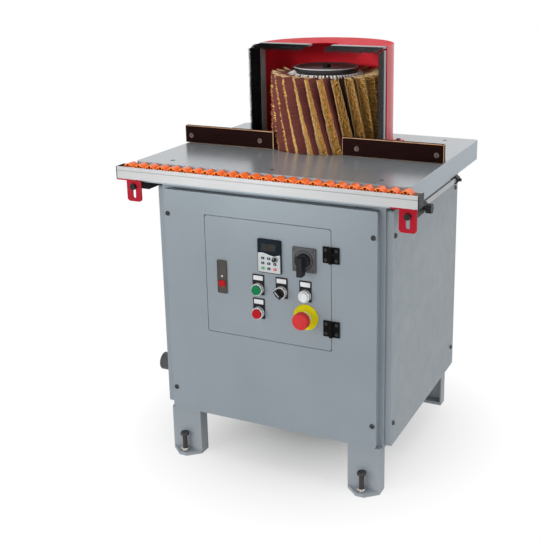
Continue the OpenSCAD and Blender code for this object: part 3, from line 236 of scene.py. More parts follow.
# bare metal with drawn or ground lines along the given stretch
def drawnMetal(tree, colour, rough, stretch, metal, lineDepth=0.12, stain=0.12):
    lines = streaks(tree, stretch)
    soil = remap(cloud(spot(tree), 9, 5), 0.42, 0.72, 0, stain)
    base = blend(spread(lines), scaled(colour, 0.9), lighter(colour, 0.06))
    base = blend(soil, base, scaled(colour, 0.55))
    return principled(tree, base=base, metal=metal, rough=spread(lines, rough - 0.07, rough + 0.07),
                      normal=bumped(lines, lineDepth, 0.2 * mm))


# table: smooth grey top that mirrors what stands on it, folded edge in a paler cabinet colour
def tableFinish(tree, top, edge):
    level = machine["tableTop"]
    onTop = sums("MULTIPLY", remap(parts(geometry(tree, "Normal"))["Z"], 0.9, 0.98),
                 remap(parts(spot(tree))["Z"], level - 1.5 * mm, level - 0.8 * mm))
    wiped = streaks(tree, (60, 5, 30), 5)
    rubbed = streaks(tree, (7, 11, 9), 4, 0.55)
    fine = cloud(spot(tree), 900, 2)
    topColour = blend(remap(wiped, 0.32, 0.68), scaled(top, 0.965), lighter(top, 0.01))
    topColour = blend(remap(rubbed, 0.55, 0.75, 0, 0.25), topColour, lighter(top, 0.05))
    edgeColour = blend(remap(fine, 0.35, 0.65, 0, 0.3), edge, scaled(edge, 0.84))
    edgeColour = blend(edgeWear(tree, 2 * mm, 0.35), edgeColour, lighter(edge, 0.3))
    rough = put(tree, "ShaderNodeMix")
    for index, value in ((0, onTop), (2, 0.42), (3, spread(rubbed, 0.22, 0.265))):
        setSocket(tree, rough.inputs[index], value)
    return principled(tree, base=blend(onTop, edgeColour, topColour), rough=rough.outputs[0],
                      metal=remap(onTop, 0, 1, 0, 0.58),
                      normal=bumped(fine, remap(onTop, 0, 1, 0.08, 0), 0.3 * mm))


# rollers: bright treads; pale rims and spokes on the end faces, a painted highlight; darker colour in the
# pockets, painted shade
def rollerFinish(tree, colour):
    low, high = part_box("roller_01")
    middle = boxMiddle("roller_01")
    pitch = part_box("roller_02")[0].x - low.x
    radius, half = (high.z - low.z) / 2, (high.y - low.y) / 2
    at = parts(spot(tree))
    across = sums("WRAP", sums("SUBTRACT", at["X"], middle.x), pitch / 2, -pitch / 2)
    reach = distance(across, sums("SUBTRACT", at["Z"], middle.z))
    depth = sums("ABSOLUTE", sums("SUBTRACT", at["Y"], middle.y))
    sideways = sums("ABSOLUTE", parts(geometry(tree, "True Normal"))["Y"])
    tread = remap(reach, radius - 0.8 * mm, radius - 0.4 * mm)
    ends = sums("MULTIPLY", remap(depth, half - 0.6 * mm, half - 0.3 * mm), remap(sideways, 0.5, 0.9))
    dustAndShade = cloud(spot(tree), 260, 4)
    dusty = spread(dustAndShade)
    red, green = colour[:2]
    rubbed = blend(remap(dustAndShade, 0.35, 0.7), scaled(colour, 0.92), lighter(colour, 0.03))
    # painted shade: the pockets between the spokes get a darker copy of the colour
    pocketShade = blend(dusty, (red * 0.62, green * 0.34, 0.004), (red * 0.8, green * 0.45, 0.006))
    # painted highlight: the rims and spokes of the end faces get a paler copy of the colour
    pale = blend(dusty, (0.97, green * 1.45, 0.022), (0.99, green * 1.9, 0.04))
    return principled(tree, base=blend(ends, blend(tread, pocketShade, rubbed), pale), gloss=0.4,
                      rough=remap(ends, 0, 1, 0.26, 0.5), normal=bumped(dustAndShade, 0.05, 0.2 * mm))


# film-faced board: dark brown faces with faint grain, tan where the edges are chamfered
def boardFinish(tree, film, core):
    side = parts(vectorSums("ABSOLUTE", geometry(tree, "True Normal"))["Vector"])
    most = sums("MAXIMUM", sums("MAXIMUM", side["X"], side["Y"]), side["Z"])
    grain = streaks(tree, (14, 120, 320), 6, 0.62)
    film = blend(spread(grain), scaled(film, 0.7), scaled(film, 1.35))
    core = blend(spread(grain), scaled(core, 0.65), lighter(core, 0.08))
    return principled(tree, base=blend(remap(most, 0.97, 0.9), film, core), gloss=0.02,
                      rough=spread(grain, 0.42, 0.58), normal=bumped(grain, 0.12, 0.4 * mm))


# rail: drawn aluminium, painted shade darkening the groove along its front
def railFinish(tree, colour, grooveShare):
    low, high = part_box("roller_rail")
    lines = streaks(tree, (8, 700, 700))
    off = sums("SUBTRACT", parts(spot(tree))["Z"], low.z + grooveShare * (high.z - low.z))
    paintedGrooveShade = remap(sums("ABSOLUTE", off), 0.4 * mm, 1.1 * mm, 0.55, 0)
    soil = remap(cloud(spot(tree), 9, 5), 0.42, 0.72, 0, 0.08)
    base = blend(spread(lines), scaled(colour, 0.93), lighter(colour, 0.05))
    # painted shade: a dark line along the groove
    base = blend(paintedGrooveShade, base, scaled(colour, 0.4))
    base = blend(soil, base, scaled(colour, 0.55))
    return principled(tree, base=base, metal=0.25, rough=spread(lines, 0.35, 0.49),
                      normal=bumped(lines, 0.06, 0.2 * mm))


# slide rods: bright drawn bar, with blackened bolt heads in front and collars behind
def rodFinish(tree, bar, black, front, rear):
    along = parts(spot(tree))["Y"]
    lines = streaks(tree, (900, 20, 900))
    dark = sums("MAXIMUM", remap(along, front + 0.5 * mm, front), remap(along, rear, rear + 0.5 * mm))
    bar = blend(spread(lines), scaled(bar, 0.8), bar)
    return principled(tree, base=blend(dark, bar, black), metal=remap(dark, 0, 1, 0.95, 0.6),
                      rough=spread(lines, 0.25, 0.42), normal=bumped(lines, 0.1, 0.2 * mm))


# where the clamp disc's rim, painted highlight on the lip, and bolt begin and end, from its axis or its top
disc = {"rim": (80.5 * mm, 81.2 * mm), "lip": (74.5 * mm, 75.5 * mm), "lipDepth": (6.6 * mm, 6 * mm),
        "bolt": (12.5 * mm, 11.8 * mm), "ringsPerMetre": 900.0}


# clamp disc: turned face, black rim, and a thin painted highlight along the lip
def discFinish(tree, face, rim, lip):
    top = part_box("clamp_disc")[1].z
    reach = axisReach(tree, boxMiddle("clamp_disc").xy)
    turning = put(tree, "ShaderNodeCombineXYZ", X=sums("MULTIPLY", reach, disc["ringsPerMetre"]))
    rings = cloud(turning.outputs[0], 1.0, 4)
    edge = remap(reach, *disc["rim"])
    upper = remap(parts(spot(tree))["Z"], *(top - depth for depth in disc["lipDepth"]))
    # painted highlight: a pale band along the upper edge of the lip
    bright = sums("MULTIPLY", remap(reach, *disc["lip"]), upper)
    black = sums("MAXIMUM", edge, remap(reach, *disc["bolt"]))
    base = blend(spread(rings), scaled(face, 0.6), lighter(face, 0.05))
    base = blend(bright, blend(black, base, rim), lip)
    return principled(tree, base=base, metal=remap(edge, 0, 1, 0.75, 0.2),
                      rough=spread(rings, 0.3, 0.44), normal=bumped(rings, 0.05, 0.2 * mm))


# mounting plate: bright galvanised sheet with dark device housings on it
def driveFinish(tree, sheet, housing, plateFront):
    bare = remap(parts(spot(tree))["Y"], plateFront - 1.2 * mm, plateFront - 0.7 * mm)
    spangle = put(tree, "ShaderNodeTexVoronoi", Vector=spot(tree), Scale=60).outputs["Color"]
    fine = cloud(spot(tree), 1400, 2)
    sheet = blend(0.16, sheet, spangle, "SOFT_LIGHT")
    housing = blend(remap(fine, 0.35, 0.65), scaled(housing, 0.8), housing)
    return principled(tree, base=blend(bare, housing, sheet), metal=remap(bare, 0, 1, 0, 0.85),
                      rough=spread(fine, 0.36, 0.5), normal=bumped(fine, 0.08, 0.2 * mm))


# abrasive cloth: gritty face with faint cross ribs
def gritFinish(tree, colour):
    grit = cloud(spot(tree), 1800, 3, 0.7)
    ribs = streaks(tree, (12, 12, 420), 3, 0.5)
    worn = cloud(spot(tree), 28, 4)
    base = blend(spread(grit), scaled(colour, 0.6), scaled(colour, 1.3))
    base = blend(remap(ribs, 0.5, 0.72, 0, 0.5), base, scaled(colour, 0.5))
    base = blend(remap(worn, 0.5, 0.8, 0, 0.3), base, scaled(colour, 1.7))
    return principled(tree, base=base, rough=spread(grit, 0.72, 0.95), gloss=0.15,
                      normal=bumped(grit, 0.5, 0.6 * mm))


# fibres and threads: colour changes from strand to strand
def fibreFinish(tree, dark, mid, pale, scale, rough, sheen, gloss=0.3, soil=0.45, dustAndShade=None, paintedSheenGrey=None):
    strand = cloud(spot(tree), scale, 2, 0.6)
    patch = cloud(spot(tree), 35)
    base = blend(remap(strand, 0.32, 0.52), dark, mid)
    base = blend(remap(strand, 0.5, 0.68), base, pale)
    base = blend(remap(patch, 0.5, 0.75, 0, soil), base, dark)
    if dustAndShade:  # maroon dust and painted shade, darker deep in the brush near the clamp disc
        reach = axisReach(tree, boxMiddle("clamp_disc").xy)
        reach = sums("ADD", reach, spread(patch, -6 * mm, 6 * mm))
        base = blend(remap(reach, 90 * mm, 108 * mm, 0.85, 0), base, dustAndShade)
    if paintedSheenGrey:  # painted sheen: more strands turn grey towards the right, standing in for light on the seals there
        sheenTowardsRight = remap(parts(spot(tree))["X"], -0.12, 0.10)
        sheenTowardsRight = sums("MULTIPLY", sheenTowardsRight, remap(strand, 0.4, 0.6, 0.1, 0.8))
        base = blend(sheenTowardsRight, base, paintedSheenGrey)
    return principled(tree, base=base, rough=spread(strand, rough - 0.1, rough + 0.1),
                      normal=bumped(strand, 0.12, 0.3 * mm), sheen=sheen, gloss=gloss)


# dark display window and clear lenses
def glassFinish(tree, colour, rough):
    smear = streaks(tree, (90, 90, 40), 4, 0.5)
    base = blend(spread(smear), scaled(colour, 0.8), lighter(colour, 0.02))
    return principled(tree, base=base, coat=0.15, gloss=0.2, rough=spread(smear, rough * 0.6, rough * 1.4))


# colours are linear values
cabinet, maroon = (0.262, 0.305, 0.338), (0.168, 0.049, 0.045)
hoodShell = machine["hoodAxis"], machine["hoodRadius"]
recipes = {
    enamel: {  # colour, roughness, peel depth, grain per metre, edge wear, gloss, painted floor bounce, round shell
        "cabinetPaint": (cabinet,),
        "framePaint": (cabinet, 0.42, 0.10, 900, 0.35, 0.45, 0.3),
        "hoodPaint": ((0.57, 0.006, 0.018), 0.5, 0.10, 900, 0.1, 0.06, 0, hoodShell),
        "bracketPaint": ((0.43, 0.002, 0.016), 0.45, 0.10, 900, 0.1, 0.1),
        "motorPaint": ((0.10, 0.12, 0.14), 0.5, 0.2)},
    drawnMetal: {  # colour, roughness, stretch, metallic share, line depth, stain
        "blackSteel": ((0.035, 0.035, 0.038), 0.4, (700, 700, 700), 0.7),
        "zincSteel": ((0.60, 0.58, 0.54), 0.34, (500, 500, 500), 0.95),
        "fenceScrew": ((0.095, 0.078, 0.072), 0.5, (500, 500, 500), 0.5),
        # painted shade: the hub is coloured near black so that it reads as the shade deep inside the brush
        "shadedHubSteel": ((0.06, 0.055, 0.054), 0.46, (200, 200, 900), 0.6),
        "bezelMetal": ((0.78, 0.78, 0.79), 0.25, (300, 300, 300), 0.8, 0.05, 0.05),
        "holderAluminium": ((0.34, 0.335, 0.34), 0.46, (600, 600, 20), 0.35, 0.08, 0.15)},
    moulded: {  # colour, roughness, grain per metre, grain depth, edge wear, gloss
        "blackPlastic": ((0.018, 0.018, 0.02), 0.45, 1500, 0.12, 0.25, 0.2),
        "blackCast": ((0.02, 0.02, 0.022), 0.5, 700, 0.25, 0.25, 0.2),
        "hingeBlack": ((0.005, 0.005, 0.0055), 0.55, 700, 0.2, 0.04, 0.06),
        "inletPlastic": ((0.055, 0.058, 0.062), 0.5),
        "contactPlastic": ((0.09, 0.09, 0.095), 0.5),
        "legendBlack": ((0.014, 0.014, 0.016), 0.42, 1500, 0.12, 0.25, 0.15),
        "labelWhite": ((0.74, 0.75, 0.77), 0.4, 900, 0.05, 0.0),
        "warnYellow": ((0.74, 0.66, 0.003), 0.42, 900, 0.06, 0.05, 0.12),
        "switchGrey": ((0.095, 0.096, 0.10), 0.42, 1100, 0.12, 0.6, 0.2),
        "keypadNavy": ((0.005, 0.011, 0.019), 0.36, 1300, 0.08, 0.1, 0.12),
        "keypadGrey": ((0.52, 0.55, 0.56), 0.42, 1300, 0.06, 0.1),
        "keyDark": ((0.022, 0.028, 0.036), 0.4, 1500, 0.12, 0.25, 0.15),
        "keyGreen": ((0.03, 0.34, 0.10), 0.4),
        "keyRed": ((0.55, 0.03, 0.03), 0.4),
        "latchPlastic": ((0.078, 0.070, 0.062), 0.48, 900, 0.2, 0.35, 0.2),
        "redPlastic": ((0.47, 0.004, 0.010), 0.36, 1000, 0.06, 0.1, 0.15),
        "mushroomRed": ((0.60, 0.032, 0.034), 0.42, 1000, 0.06, 0.1, 0.2),
        "greenPlastic": ((0.002, 0.19, 0.065), 0.36, 1000, 0.06, 0.1, 0.15)},
    fibreFinish: {  # dark, middle and pale colour, scale, roughness, sheen, gloss, soil, dust and painted shade, painted sheen
        "clothBack": ((0.16, 0.085, 0.03), (0.40, 0.23, 0.07), (0.58, 0.38, 0.15), 700, 0.85, 0.05, 0.15,
                      0.45, scaled(maroon, 0.8)),
        "sisalFibre": ((0.36, 0.18, 0.035), (0.97, 0.58, 0.125), (1.0, 0.76, 0.32), 420, 0.72, 0.05, 0.1,
                       0.2, scaled(maroon, 0.75)),
        "palestFibre": ((0.42, 0.28, 0.11), (0.68, 0.50, 0.25), (0.80, 0.66, 0.42), 300, 0.75, 0.08, 0.15),
        "rootWhite": ((0.66, 0.65, 0.62), (0.84, 0.83, 0.80), (0.90, 0.89, 0.87), 500, 0.7, 0.1),
        "sealFibre": ((0.006, 0.006, 0.007), (0.012, 0.012, 0.013), (0.03, 0.03, 0.032), 520, 0.7, 0.0,
                      0.05, 0.45, None, (0.15, 0.15, 0.155))},
    glassFinish: {  # colour, roughness
        "lampLens": ((0.80, 0.81, 0.83), 0.3), "displayGlass": ((0.012, 0.010, 0.008), 0.12)},
    tableFinish: {"tablePaint": ((0.385, 0.414, 0.437), scaled(cabinet, 1.45))},
    boardFinish: {"fenceBoard": ((0.0120, 0.0046, 0.0040), (0.52, 0.29, 0.15))},
    driveFinish: {"drivePlate": ((0.62, 0.63, 0.64), (0.05, 0.053, 0.058), -0.1047)},
    rodFinish: {"rodSteel": ((0.42, 0.43, 0.44), (0.02, 0.02, 0.022), -0.2857, 0.0585)},
    railFinish: {"railAluminium": ((0.56, 0.565, 0.57), 0.67)},
    rollerFinish: {"rollerPlastic": ((0.92, 0.15, 0.013),)},
    discFinish: {"discSteel": ((0.25, 0.235, 0.235), (0.012, 0.012, 0.013), (0.42, 0.42, 0.43))},
    gritFinish: {"clothGrit": (maroon,)}}


def makeFinishes():
    made = {}
    for recipe, rows in recipes.items():
        for name, values in rows.items():
            made[name] = bpy.data.materials.new(name)
            tree, surface = startTree(made[name], "ShaderNodeOutputMaterial")
            tree.links.new(recipe(tree, *values), surface)
    return made


finish = makeFinishes()
print("finishes made,", len(finish))

# edge rounding, in millimetres, of the CAD nodes that stay, by finish
dress = {
    "framePaint": {"cabinet_frame": 0.8},
    "cabinetPaint": {"front_panel": 0.9, "cover_panels": 0.9, "control_door": 0.9},
    "tablePaint": {"work_table": 1.2}, "fenceBoard": {"fences": 1.7}, "hoodPaint": {"dust_hood": 0.6},
    "bracketPaint": {"rail_brackets": 0.7}, "motorPaint": {"brush_motor": 0.6},
    "drivePlate": {"drive_panel": 0.7}, "blackCast": {"rod_guides": 0.8},
    "hingeBlack": {"hinge_fixed_leaves": 0.5, "hinge_door_leaves": 0.5},
    "inletPlastic": {"power_inlet": 0.5}, "rodSteel": {"slide_rods": 0.5},
    "blackPlastic": {"clamp_knob_left": 0.9, "clamp_knob_right": 0.9, "rail_end_caps": 0.6,
                     "main_switch_knob": 1.2, "selector_knob": 0.8, "keypad_knob": 0.4},
    "railAluminium": {"roller_rail": 0.3}, "latchPlastic": {"latch_body": 0.4},
    "redPlastic": {"latch_button": 0.5, "stop_button": 0.8}, "greenPlastic": {"start_button": 0.8},
    "mushroomRed": {"estop_head": 0.5}, "shadedHubSteel": {"spindle_hub": 0.4}, "discSteel": {"clamp_disc": 0.8},
    "rollerPlastic": {name: 0.3 for name in nodes if name.startswith("roller_") and name != "roller_rail"}}
edges = {"weld": 0.02 * mm, "angle": 38, "boardAngle": 70, "flatAngle": 1.5}


def dressNode(node, mat, rounding):
    board = mat is finish["fenceBoard"]
    if node.material_slots:
        for slot in node.material_slots:
            slot.material = mat
    else:
        node.data.materials.append(mat)
    weld = node.modifiers.new("weld", "WELD")
    weld.merge_threshold = edges["weld"]
    if board:  # joins coplanar triangles, so that only real edges are chamfered
        flats = node.modifiers.new("flats", "DECIMATE")
        flats.decimate_type = "DISSOLVE"
        flats.angle_limit = math.radians(edges["flatAngle"])
    bevel = node.modifiers.new("edges", "BEVEL")
    bevel.width = rounding * mm
    bevel.segments = 1 if board else 2
    bevel.limit_method = "ANGLE"
    bevel.angle_limit = math.radians(edges["boardAngle" if board else "angle"])
    bevel.use_clamp_overlap = not board
    bevel.miter_outer = "MITER_ARC"
    even = node.modifiers.new("evenNormals", "WEIGHTED_NORMAL")
    even.weight = 100
    even.keep_sharp = False


for kind, roundings in dress.items():
    for name, rounding in roundings.items():
        dressNode(nodes[name], finish[kind], rounding)
print("CAD nodes dressed")


# mesh helpers: closed loops of points joined to a skin
def circle(radius, z, count=24):
    turns = [2 * math.pi * i / count for i in range(count)]
    return [(radius * math.cos(a), radius * math.sin(a), z) for a in turns]


def hexagon(radius, z, count=24):
    points = []
    for i in range(count):
        a = 2 * math.pi * i / count
        reach = radius * math.cos(math.pi / 6) / math.cos((a + math.pi / 6) % (math.pi / 3) - math.pi / 6)
        points.append((reach * math.cos(a), reach * math.sin(a), z))
    return points


def roundedBox(width, height, radius, z, steps=5):
    points = []
    for cx, cy, first in ((1, 1, 0), (-1, 1, 90), (-1, -1, 180), (1, -1, 270)):
        for i in range(steps + 1):
            a = math.radians(first + 90 * i / steps)
            points.append((cx * (width / 2 - radius) + radius * math.cos(a),
                           cy * (height / 2 - radius) + radius * math.sin(a), z))
    return points


def joinRings(bm, rings, mat):
    count = len(rings[0])
    for a, b in zip(rings, rings[1:]):
        for i in range(count):
            j = (i + 1) % count
            bm.faces.new((a[i], a[j], b[j], b[i])).material_index = mat
    bm.faces.new(rings[0][::-1]).material_index = mat
    bm.faces.new(rings[-1]).material_index = mat


def skin(bm, loops, place, mat):
    joinRings(bm, [[bm.verts.new(place @ Vector(p)) for p in loop] for loop in loops], mat)


# flat outline drawn up from z = low to z = high
def raised(bm, outline, low, high, place, mat):
    skin(bm, [[(x, y, z) for x, y in outline] for z in (low, high)], place, mat)


# plate with a rounded outline, standing on z = low, edges broken by rim, in millimetres
def plate(bm, width, height, radius, low, high, rim, place, mat):
    loops = [roundedBox(width, height, radius, low)]
    for inset, drop in ((0, 1), (0.3, 0.3), (1, 0)):
        corner = max(radius - inset * rim, 0.1) if inset else radius
        loops.append(roundedBox(width - 2 * inset * rim, height - 2 * inset * rim, corner, high - drop * rim))
    skin(bm, loops, place, mat)


def turned(bm, profile, place, mat, count=32):
    skin(bm, [circle(r, z, count) for r, z in profile], place, mat)


# low frame and low ring: outer wall, flat top, inner wall
def raisedFrame(bm, boxes, low, high, place, mat):
    skin(bm, [roundedBox(*box, z) for box, z in zip(boxes, (low, high, high, low))], place, mat)


def raisedRing(bm, radii, low, high, place, mat, count):
    turned(bm, zip(radii, (low, high, high, low)), place, mat, count)


# screw head with a hexagon socket: circles up and over the head, then hexagons down the socket
def socketHead(bm, head, socket, place, mat):
    skin(bm, [circle(r, z) for r, z in head] + [hexagon(r, z) for r, z in socket], place, mat)


# place with its z turned by degrees about an axis, and with millimetres as its unit
def placed(x, y, z, axis="Z", degrees=0):
    turn = Matrix.Rotation(math.radians(degrees), 4, axis)
    return Matrix.Translation((x, y, z)) @ turn @ Matrix.Scale(mm, 4)


def finishPiece(name, bm, kinds, body, replaced=(), sharp=32):
    bm.normal_update()
    mesh = bpy.data.meshes.new(name)
    bm.to_mesh(mesh)
    bm.free()
    for kind in kinds:
        mesh.materials.append(finish[kind])
    mesh.polygons.foreach_set("use_smooth", [True] * len(mesh.polygons))
    mesh.set_sharp_from_angle(angle=math.radians(sharp))
    piece = bpy.data.objects.new(name, mesh)
    bpy.context.scene.collection.objects.link(piece)
    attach(piece, body)
    if replaced:
        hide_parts(*replaced)


# strand of three-sided section along a path, tapering to its tip
def strand(bm, path, thick, taper, mat):
    rings = []
    for i, p in enumerate(path):
        ahead = (path[min(i + 1, len(path) - 1)] - path[max(i - 1, 0)]).normalized()
        side = ahead.cross(Vector((0.31, 0.22, 0.93))).normalized()
        over = ahead.cross(side)
        r = thick * (1 - (1 - taper) * i / (len(path) - 1))
        rings.append([bm.verts.new(p + side * (r * math.cos(a)) + over * (r * math.sin(a)))
                      for a in (0, 2.094, 4.189)])
    joinRings(bm, rings, mat)


# sealing brushes round the hood mouth: channel holder with dense black filaments
seals = {"holder": 22 * mm, "thick": 5 * mm, "filament": 48 * mm, "splay": 7.5, "pitch": 0.95 * mm, "rows": 4,
         "strandRadius": 0.45 * mm, "apron": 0.019, "stand": 0.2 * mm, "notch": 0.0304, "sheet": 2 * mm,
         "coreHalf": 0.5 * mm, "coreInset": 0.8 * mm, "uneven": 1.6 * mm, "sideBend": 1.1 * mm,
         "endInset": 0.6 * mm, "sideFray": 1.2 * mm, "topDroop": 5 * mm, "topFray": 3.6 * mm}


def sealStrip(bm, length, place, droop, fray):
    s = seals
    t, w, free = s["thick"], s["holder"], s["filament"]
    outline = [(-w, -t / 2), (-w, -t * 0.24), (-w * 0.82, -t * 0.3), (-w * 0.82, t * 0.3), (-w, t * 0.24),
               (-w, t / 2), (-t * 0.15, t / 2), (0, t * 0.3), (0, -t * 0.3), (-t * 0.15, -t / 2)]
    skin(bm, [[(x, y, z) for y, z in outline] for x in (0, length)], place, 0)
    middle = [(-w * 0.85, 0), (-w - free * 0.45, -droop * 0.25), (-w - free * 0.86, -droop * 0.78)]
    core = [(y, z - s["coreHalf"]) for y, z in middle] + [(y, z + s["coreHalf"]) for y, z in middle[::-1]]
    skin(bm, [[(x, y, z) for y, z in core] for x in (s["coreInset"], length - s["coreInset"])], place, 1)
    count = int(length / s["pitch"])
    for row in range(s["rows"]):
        height = (row - (s["rows"] - 1) / 2) * t * 0.13
        for i in range(count):
            x = (i + 0.5 + dice.uniform(-0.35, 0.35)) * length / count
            bend = dice.gauss(0, s["sideBend"])
            lift = dice.gauss(0, fray) + height * 0.6 - droop
            tip = -w - free + abs(dice.gauss(0, s["uneven"]))
            line = []
            for f in (0, 0.35, 0.7, 1):
                across = min(max(x + bend * f * f, s["endInset"]), length - s["endInset"])
                line.append(place @ Vector((across, -w * 0.86 + (tip + w * 0.86) * f, height + lift * f * f)))
            strand(bm, line, s["strandRadius"], 0.7, 1)


def makeSeals():
    s = seals
    bm = bmesh.new()
    x, y = machine["hoodAxis"]
    radius, rise = machine["hoodRadius"], machine["hoodHigh"] - machine["hoodLow"]
    base = Matrix.Translation((x, y - s["apron"] - s["stand"], machine["hoodLow"]))
    for side in (-1, 1):
        place = base @ Matrix.Translation((side * (radius - s["thick"]), 0, s["thick"] / 2))
        place = place @ Matrix.Rotation(math.radians(side * s["splay"]), 4, "Z")
        place = place @ Matrix.Rotation(math.radians(-90), 4, "Y")
        sealStrip(bm, rise - s["sheet"] - 2 * s["thick"], place, 0, s["sideFray"])
    for start in (-radius + s["sheet"], s["notch"]):
        place = base @ Matrix.Translation((start, 0, rise - s["thick"] / 2))
        sealStrip(bm, radius - s["sheet"] - s["notch"], place, s["topDroop"], s["topFray"])
    finishPiece("hoodSeals", bm, ("holderAluminium", "sealFibre"), "cabinet",
                ("hood_brush_strips",))


makeSeals()
print("hood seals made")

# flap brush: cloth flaps cut into strips, each backed by a tuft of plant fibre
brush = {"radius": 0.1430, "packs": 24, "tilt": 17.0, "lean": 32.0, "curl": 6.0, "sway": 2.5, "leanSway": 0.4,
         "root": 0.062, "bend": 0.076, "bendInset": 0.003, "bendLength": 0.006, "curlLength": 0.08,
         "stride": 0.0015, "longest": 0.12, "strips": 17, "length": 0.1965, "half": 97.2 * mm}
cloth = {"thick": 1.5 * mm, "offset": 1.7 * mm, "slit": 0.1 * mm, "uncut": 0.02 * mm, "fringe": 2.5 * mm,
         "leanChance": 0.2, "curlChance": 0.5, "edgeChance": 0.7}
fibre = {"length": 0.190, "offset": -2.0 * mm, "rows": 5, "pitch": 2.65 * mm, "radius": 0.88 * mm,
         "fan": 13.0, "bush": 5.0, "slope": 17 * mm, "loose": 14, "rootReach": 9 * mm, "rootThick": 1.8 * mm,
         "backing": 0.9 * mm, "backingSet": 2.4 * mm, "firstRow": 1.2 * mm, "allRows": 3.4 * mm,
         "below": 1 * mm, "above": 4 * mm, "apartChance": 0.16, "endChance": 1.6, "drift": (0.0012, 0.0026),
         "thickness": (0.8, 1.25), "taper": 0.75, "backingCurl": (0.6, 0.3), "backingReach": (0.8, 0.4),
         "looseBelow": (0.5, 5), "looseCurl": (0, 7), "looseShort": (1, 14), "looseRise": (2.5, 8.5)}
cords = {"count": 66, "radius": 0.9 * mm, "reach": (0.0975, 0.0014), "drop": (6.5, 1.2), "apart": 1.6,
         "around": 0.09, "path": ((0.0780, -2.2 * mm), (0.0832, -1.6 * mm), (0.0885, -0.4 * mm))}
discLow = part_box("clamp_disc")[0]
packSway = [dice.uniform(-brush["sway"], brush["sway"]) for k in range(brush["packs"])]
brushCentre = Vector((*boxMiddle("clamp_disc").xy, discLow.z - brush["half"]))


# lean, curl and place of each pack
def packs():
    for k, sway in enumerate(packSway):
        turn = Matrix.Rotation(2 * math.pi * k / brush["packs"], 4, "Z")
        place = Matrix.Translation(brushCentre) @ turn @ Matrix.Rotation(math.radians(brush["tilt"]), 4, "X")
        yield brush["lean"] + sway * brush["leanSway"], brush["curl"] + sway, place


# lower and upper height of each strip of a pack
def stripHeights(length):
    for i in range(brush["strips"]):
        low = -length / 2 + i * length / brush["strips"]
        yield low, low + length / brush["strips"]


# height along a pack: the lean takes its outer edge down, and the upper end is cut level
def levelled(height, y, offset):
    share = height / brush["length"] + 0.5
    return height + share * (offset - y) * math.tan(math.radians(brush["tilt"]))


# outward path of a pack at one height, until it meets the brush radius
def leaningPath(height, offset, lean, curl, radius, steps):
    tilt = math.radians(brush["tilt"])
    x, y = brush["bend"], offset
    free = []
    walked = 0.0
    while walked < brush["longest"]:
        level = levelled(height, y, offset)
        if math.hypot(x, y * math.cos(tilt) - level * math.sin(tilt)) >= radius:
            break
        a = math.radians(lean * min(1, walked / brush["bendLength"]) + curl * walked / brush["curlLength"])
        x += math.cos(a) * brush["stride"]
        y -= math.sin(a) * brush["stride"]
        walked += brush["stride"]
        free.append((x, y))
    kept = [free[round(i * (len(free) - 1) / (steps - 1))] for i in range(steps)]
    return [(brush["root"], offset), (brush["bend"] - brush["bendInset"], offset)] + kept


# strip of even thickness along a path, with a lower and an upper height at each point
def band(bm, path, heights, thick, place, back):
    rings = []
    for j, ((x, y), (lower, upper)) in enumerate(zip(path, heights)):
        before, after = path[max(j - 1, 0)], path[min(j + 1, len(path) - 1)]
        run = Vector((after[0] - before[0], after[1] - before[1])).normalized()
        out = Vector((-run.y, run.x)) * thick / 2
        rings.append([bm.verts.new(place @ Vector(p)) for p in (
            (x + out.x, y + out.y, lower), (x + out.x, y + out.y, upper),
            (x - out.x, y - out.y, upper), (x - out.x, y - out.y, lower))])
    for a, b in zip(rings, rings[1:]):
        for q in range(4):
            face = bm.faces.new((a[q], b[q], b[(q + 1) % 4], a[(q + 1) % 4]))
            face.material_index = back if q == 2 else 0
    bm.faces.new(rings[0]).material_index = back
    bm.faces.new(rings[-1][::-1]).material_index = back


def makeFlaps():
    offset = cloth["offset"]
    bm = bmesh.new()
    for lean, curl, place in packs():
        for low, high in stripHeights(brush["length"]):
            leaning = lean - abs(dice.gauss(0, cloth["leanChance"]))
            curling = curl - abs(dice.gauss(0, cloth["curlChance"]))
            reach = brush["radius"] - cloth["fringe"] - abs(dice.gauss(0, cloth["edgeChance"])) * mm
            path = leaningPath((low + high) / 2, offset, leaning, curling, reach, 7)
            heights = []
            for j, (x, y) in enumerate(path):
                gap = cloth["slit"] / 2 if j > 3 else cloth["uncut"]
                heights.append((levelled(low, y, offset) + gap, levelled(high, y, offset) - gap))
            band(bm, path, heights, cloth["thick"], place, 1)
    finishPiece("abrasiveFlaps", bm, ("clothGrit", "clothBack"), "spindle",
                ("brush_flaps",), 50)


# strip at the root that holds the fibres
def addRoot(bm, place):
    path = leaningPath(0, fibre["offset"], brush["lean"], 0, brush["bend"] + fibre["rootReach"], 4)
    half = brush["length"] / 2 - fibre["below"]
    band(bm, path, [(-half, half)] * len(path), fibre["rootThick"], place, 0)


# thin strips on the far side of a tuft
def addBacking(bm, lean, curl, place):
    f = fibre
    for low, high in stripHeights(f["length"]):
        path = leaningPath((low + high) / 2, f["offset"] - f["backingSet"], lean + f["fan"],
                           curl + f["bush"] + dice.gauss(*f["backingCurl"]),
                           brush["radius"] - f["slope"] + dice.gauss(*f["backingReach"]) * mm, 14)
        for (x0, y0), (x1, y1) in zip(path[-3:], path[-2:]):
            corners = ((x0, y0, low), (x1, y1, low), (x1, y1, high), (x0, y0, high))
            near = [place @ Vector((x, y, levelled(h, y, f["offset"]))) for x, y, h in corners]
            out = (near[1] - near[0]).cross(near[3] - near[0]).normalized() * f["backing"]
            joinRings(bm, [[bm.verts.new(v) for v in near], [bm.verts.new(v + out) for v in near]], 2)


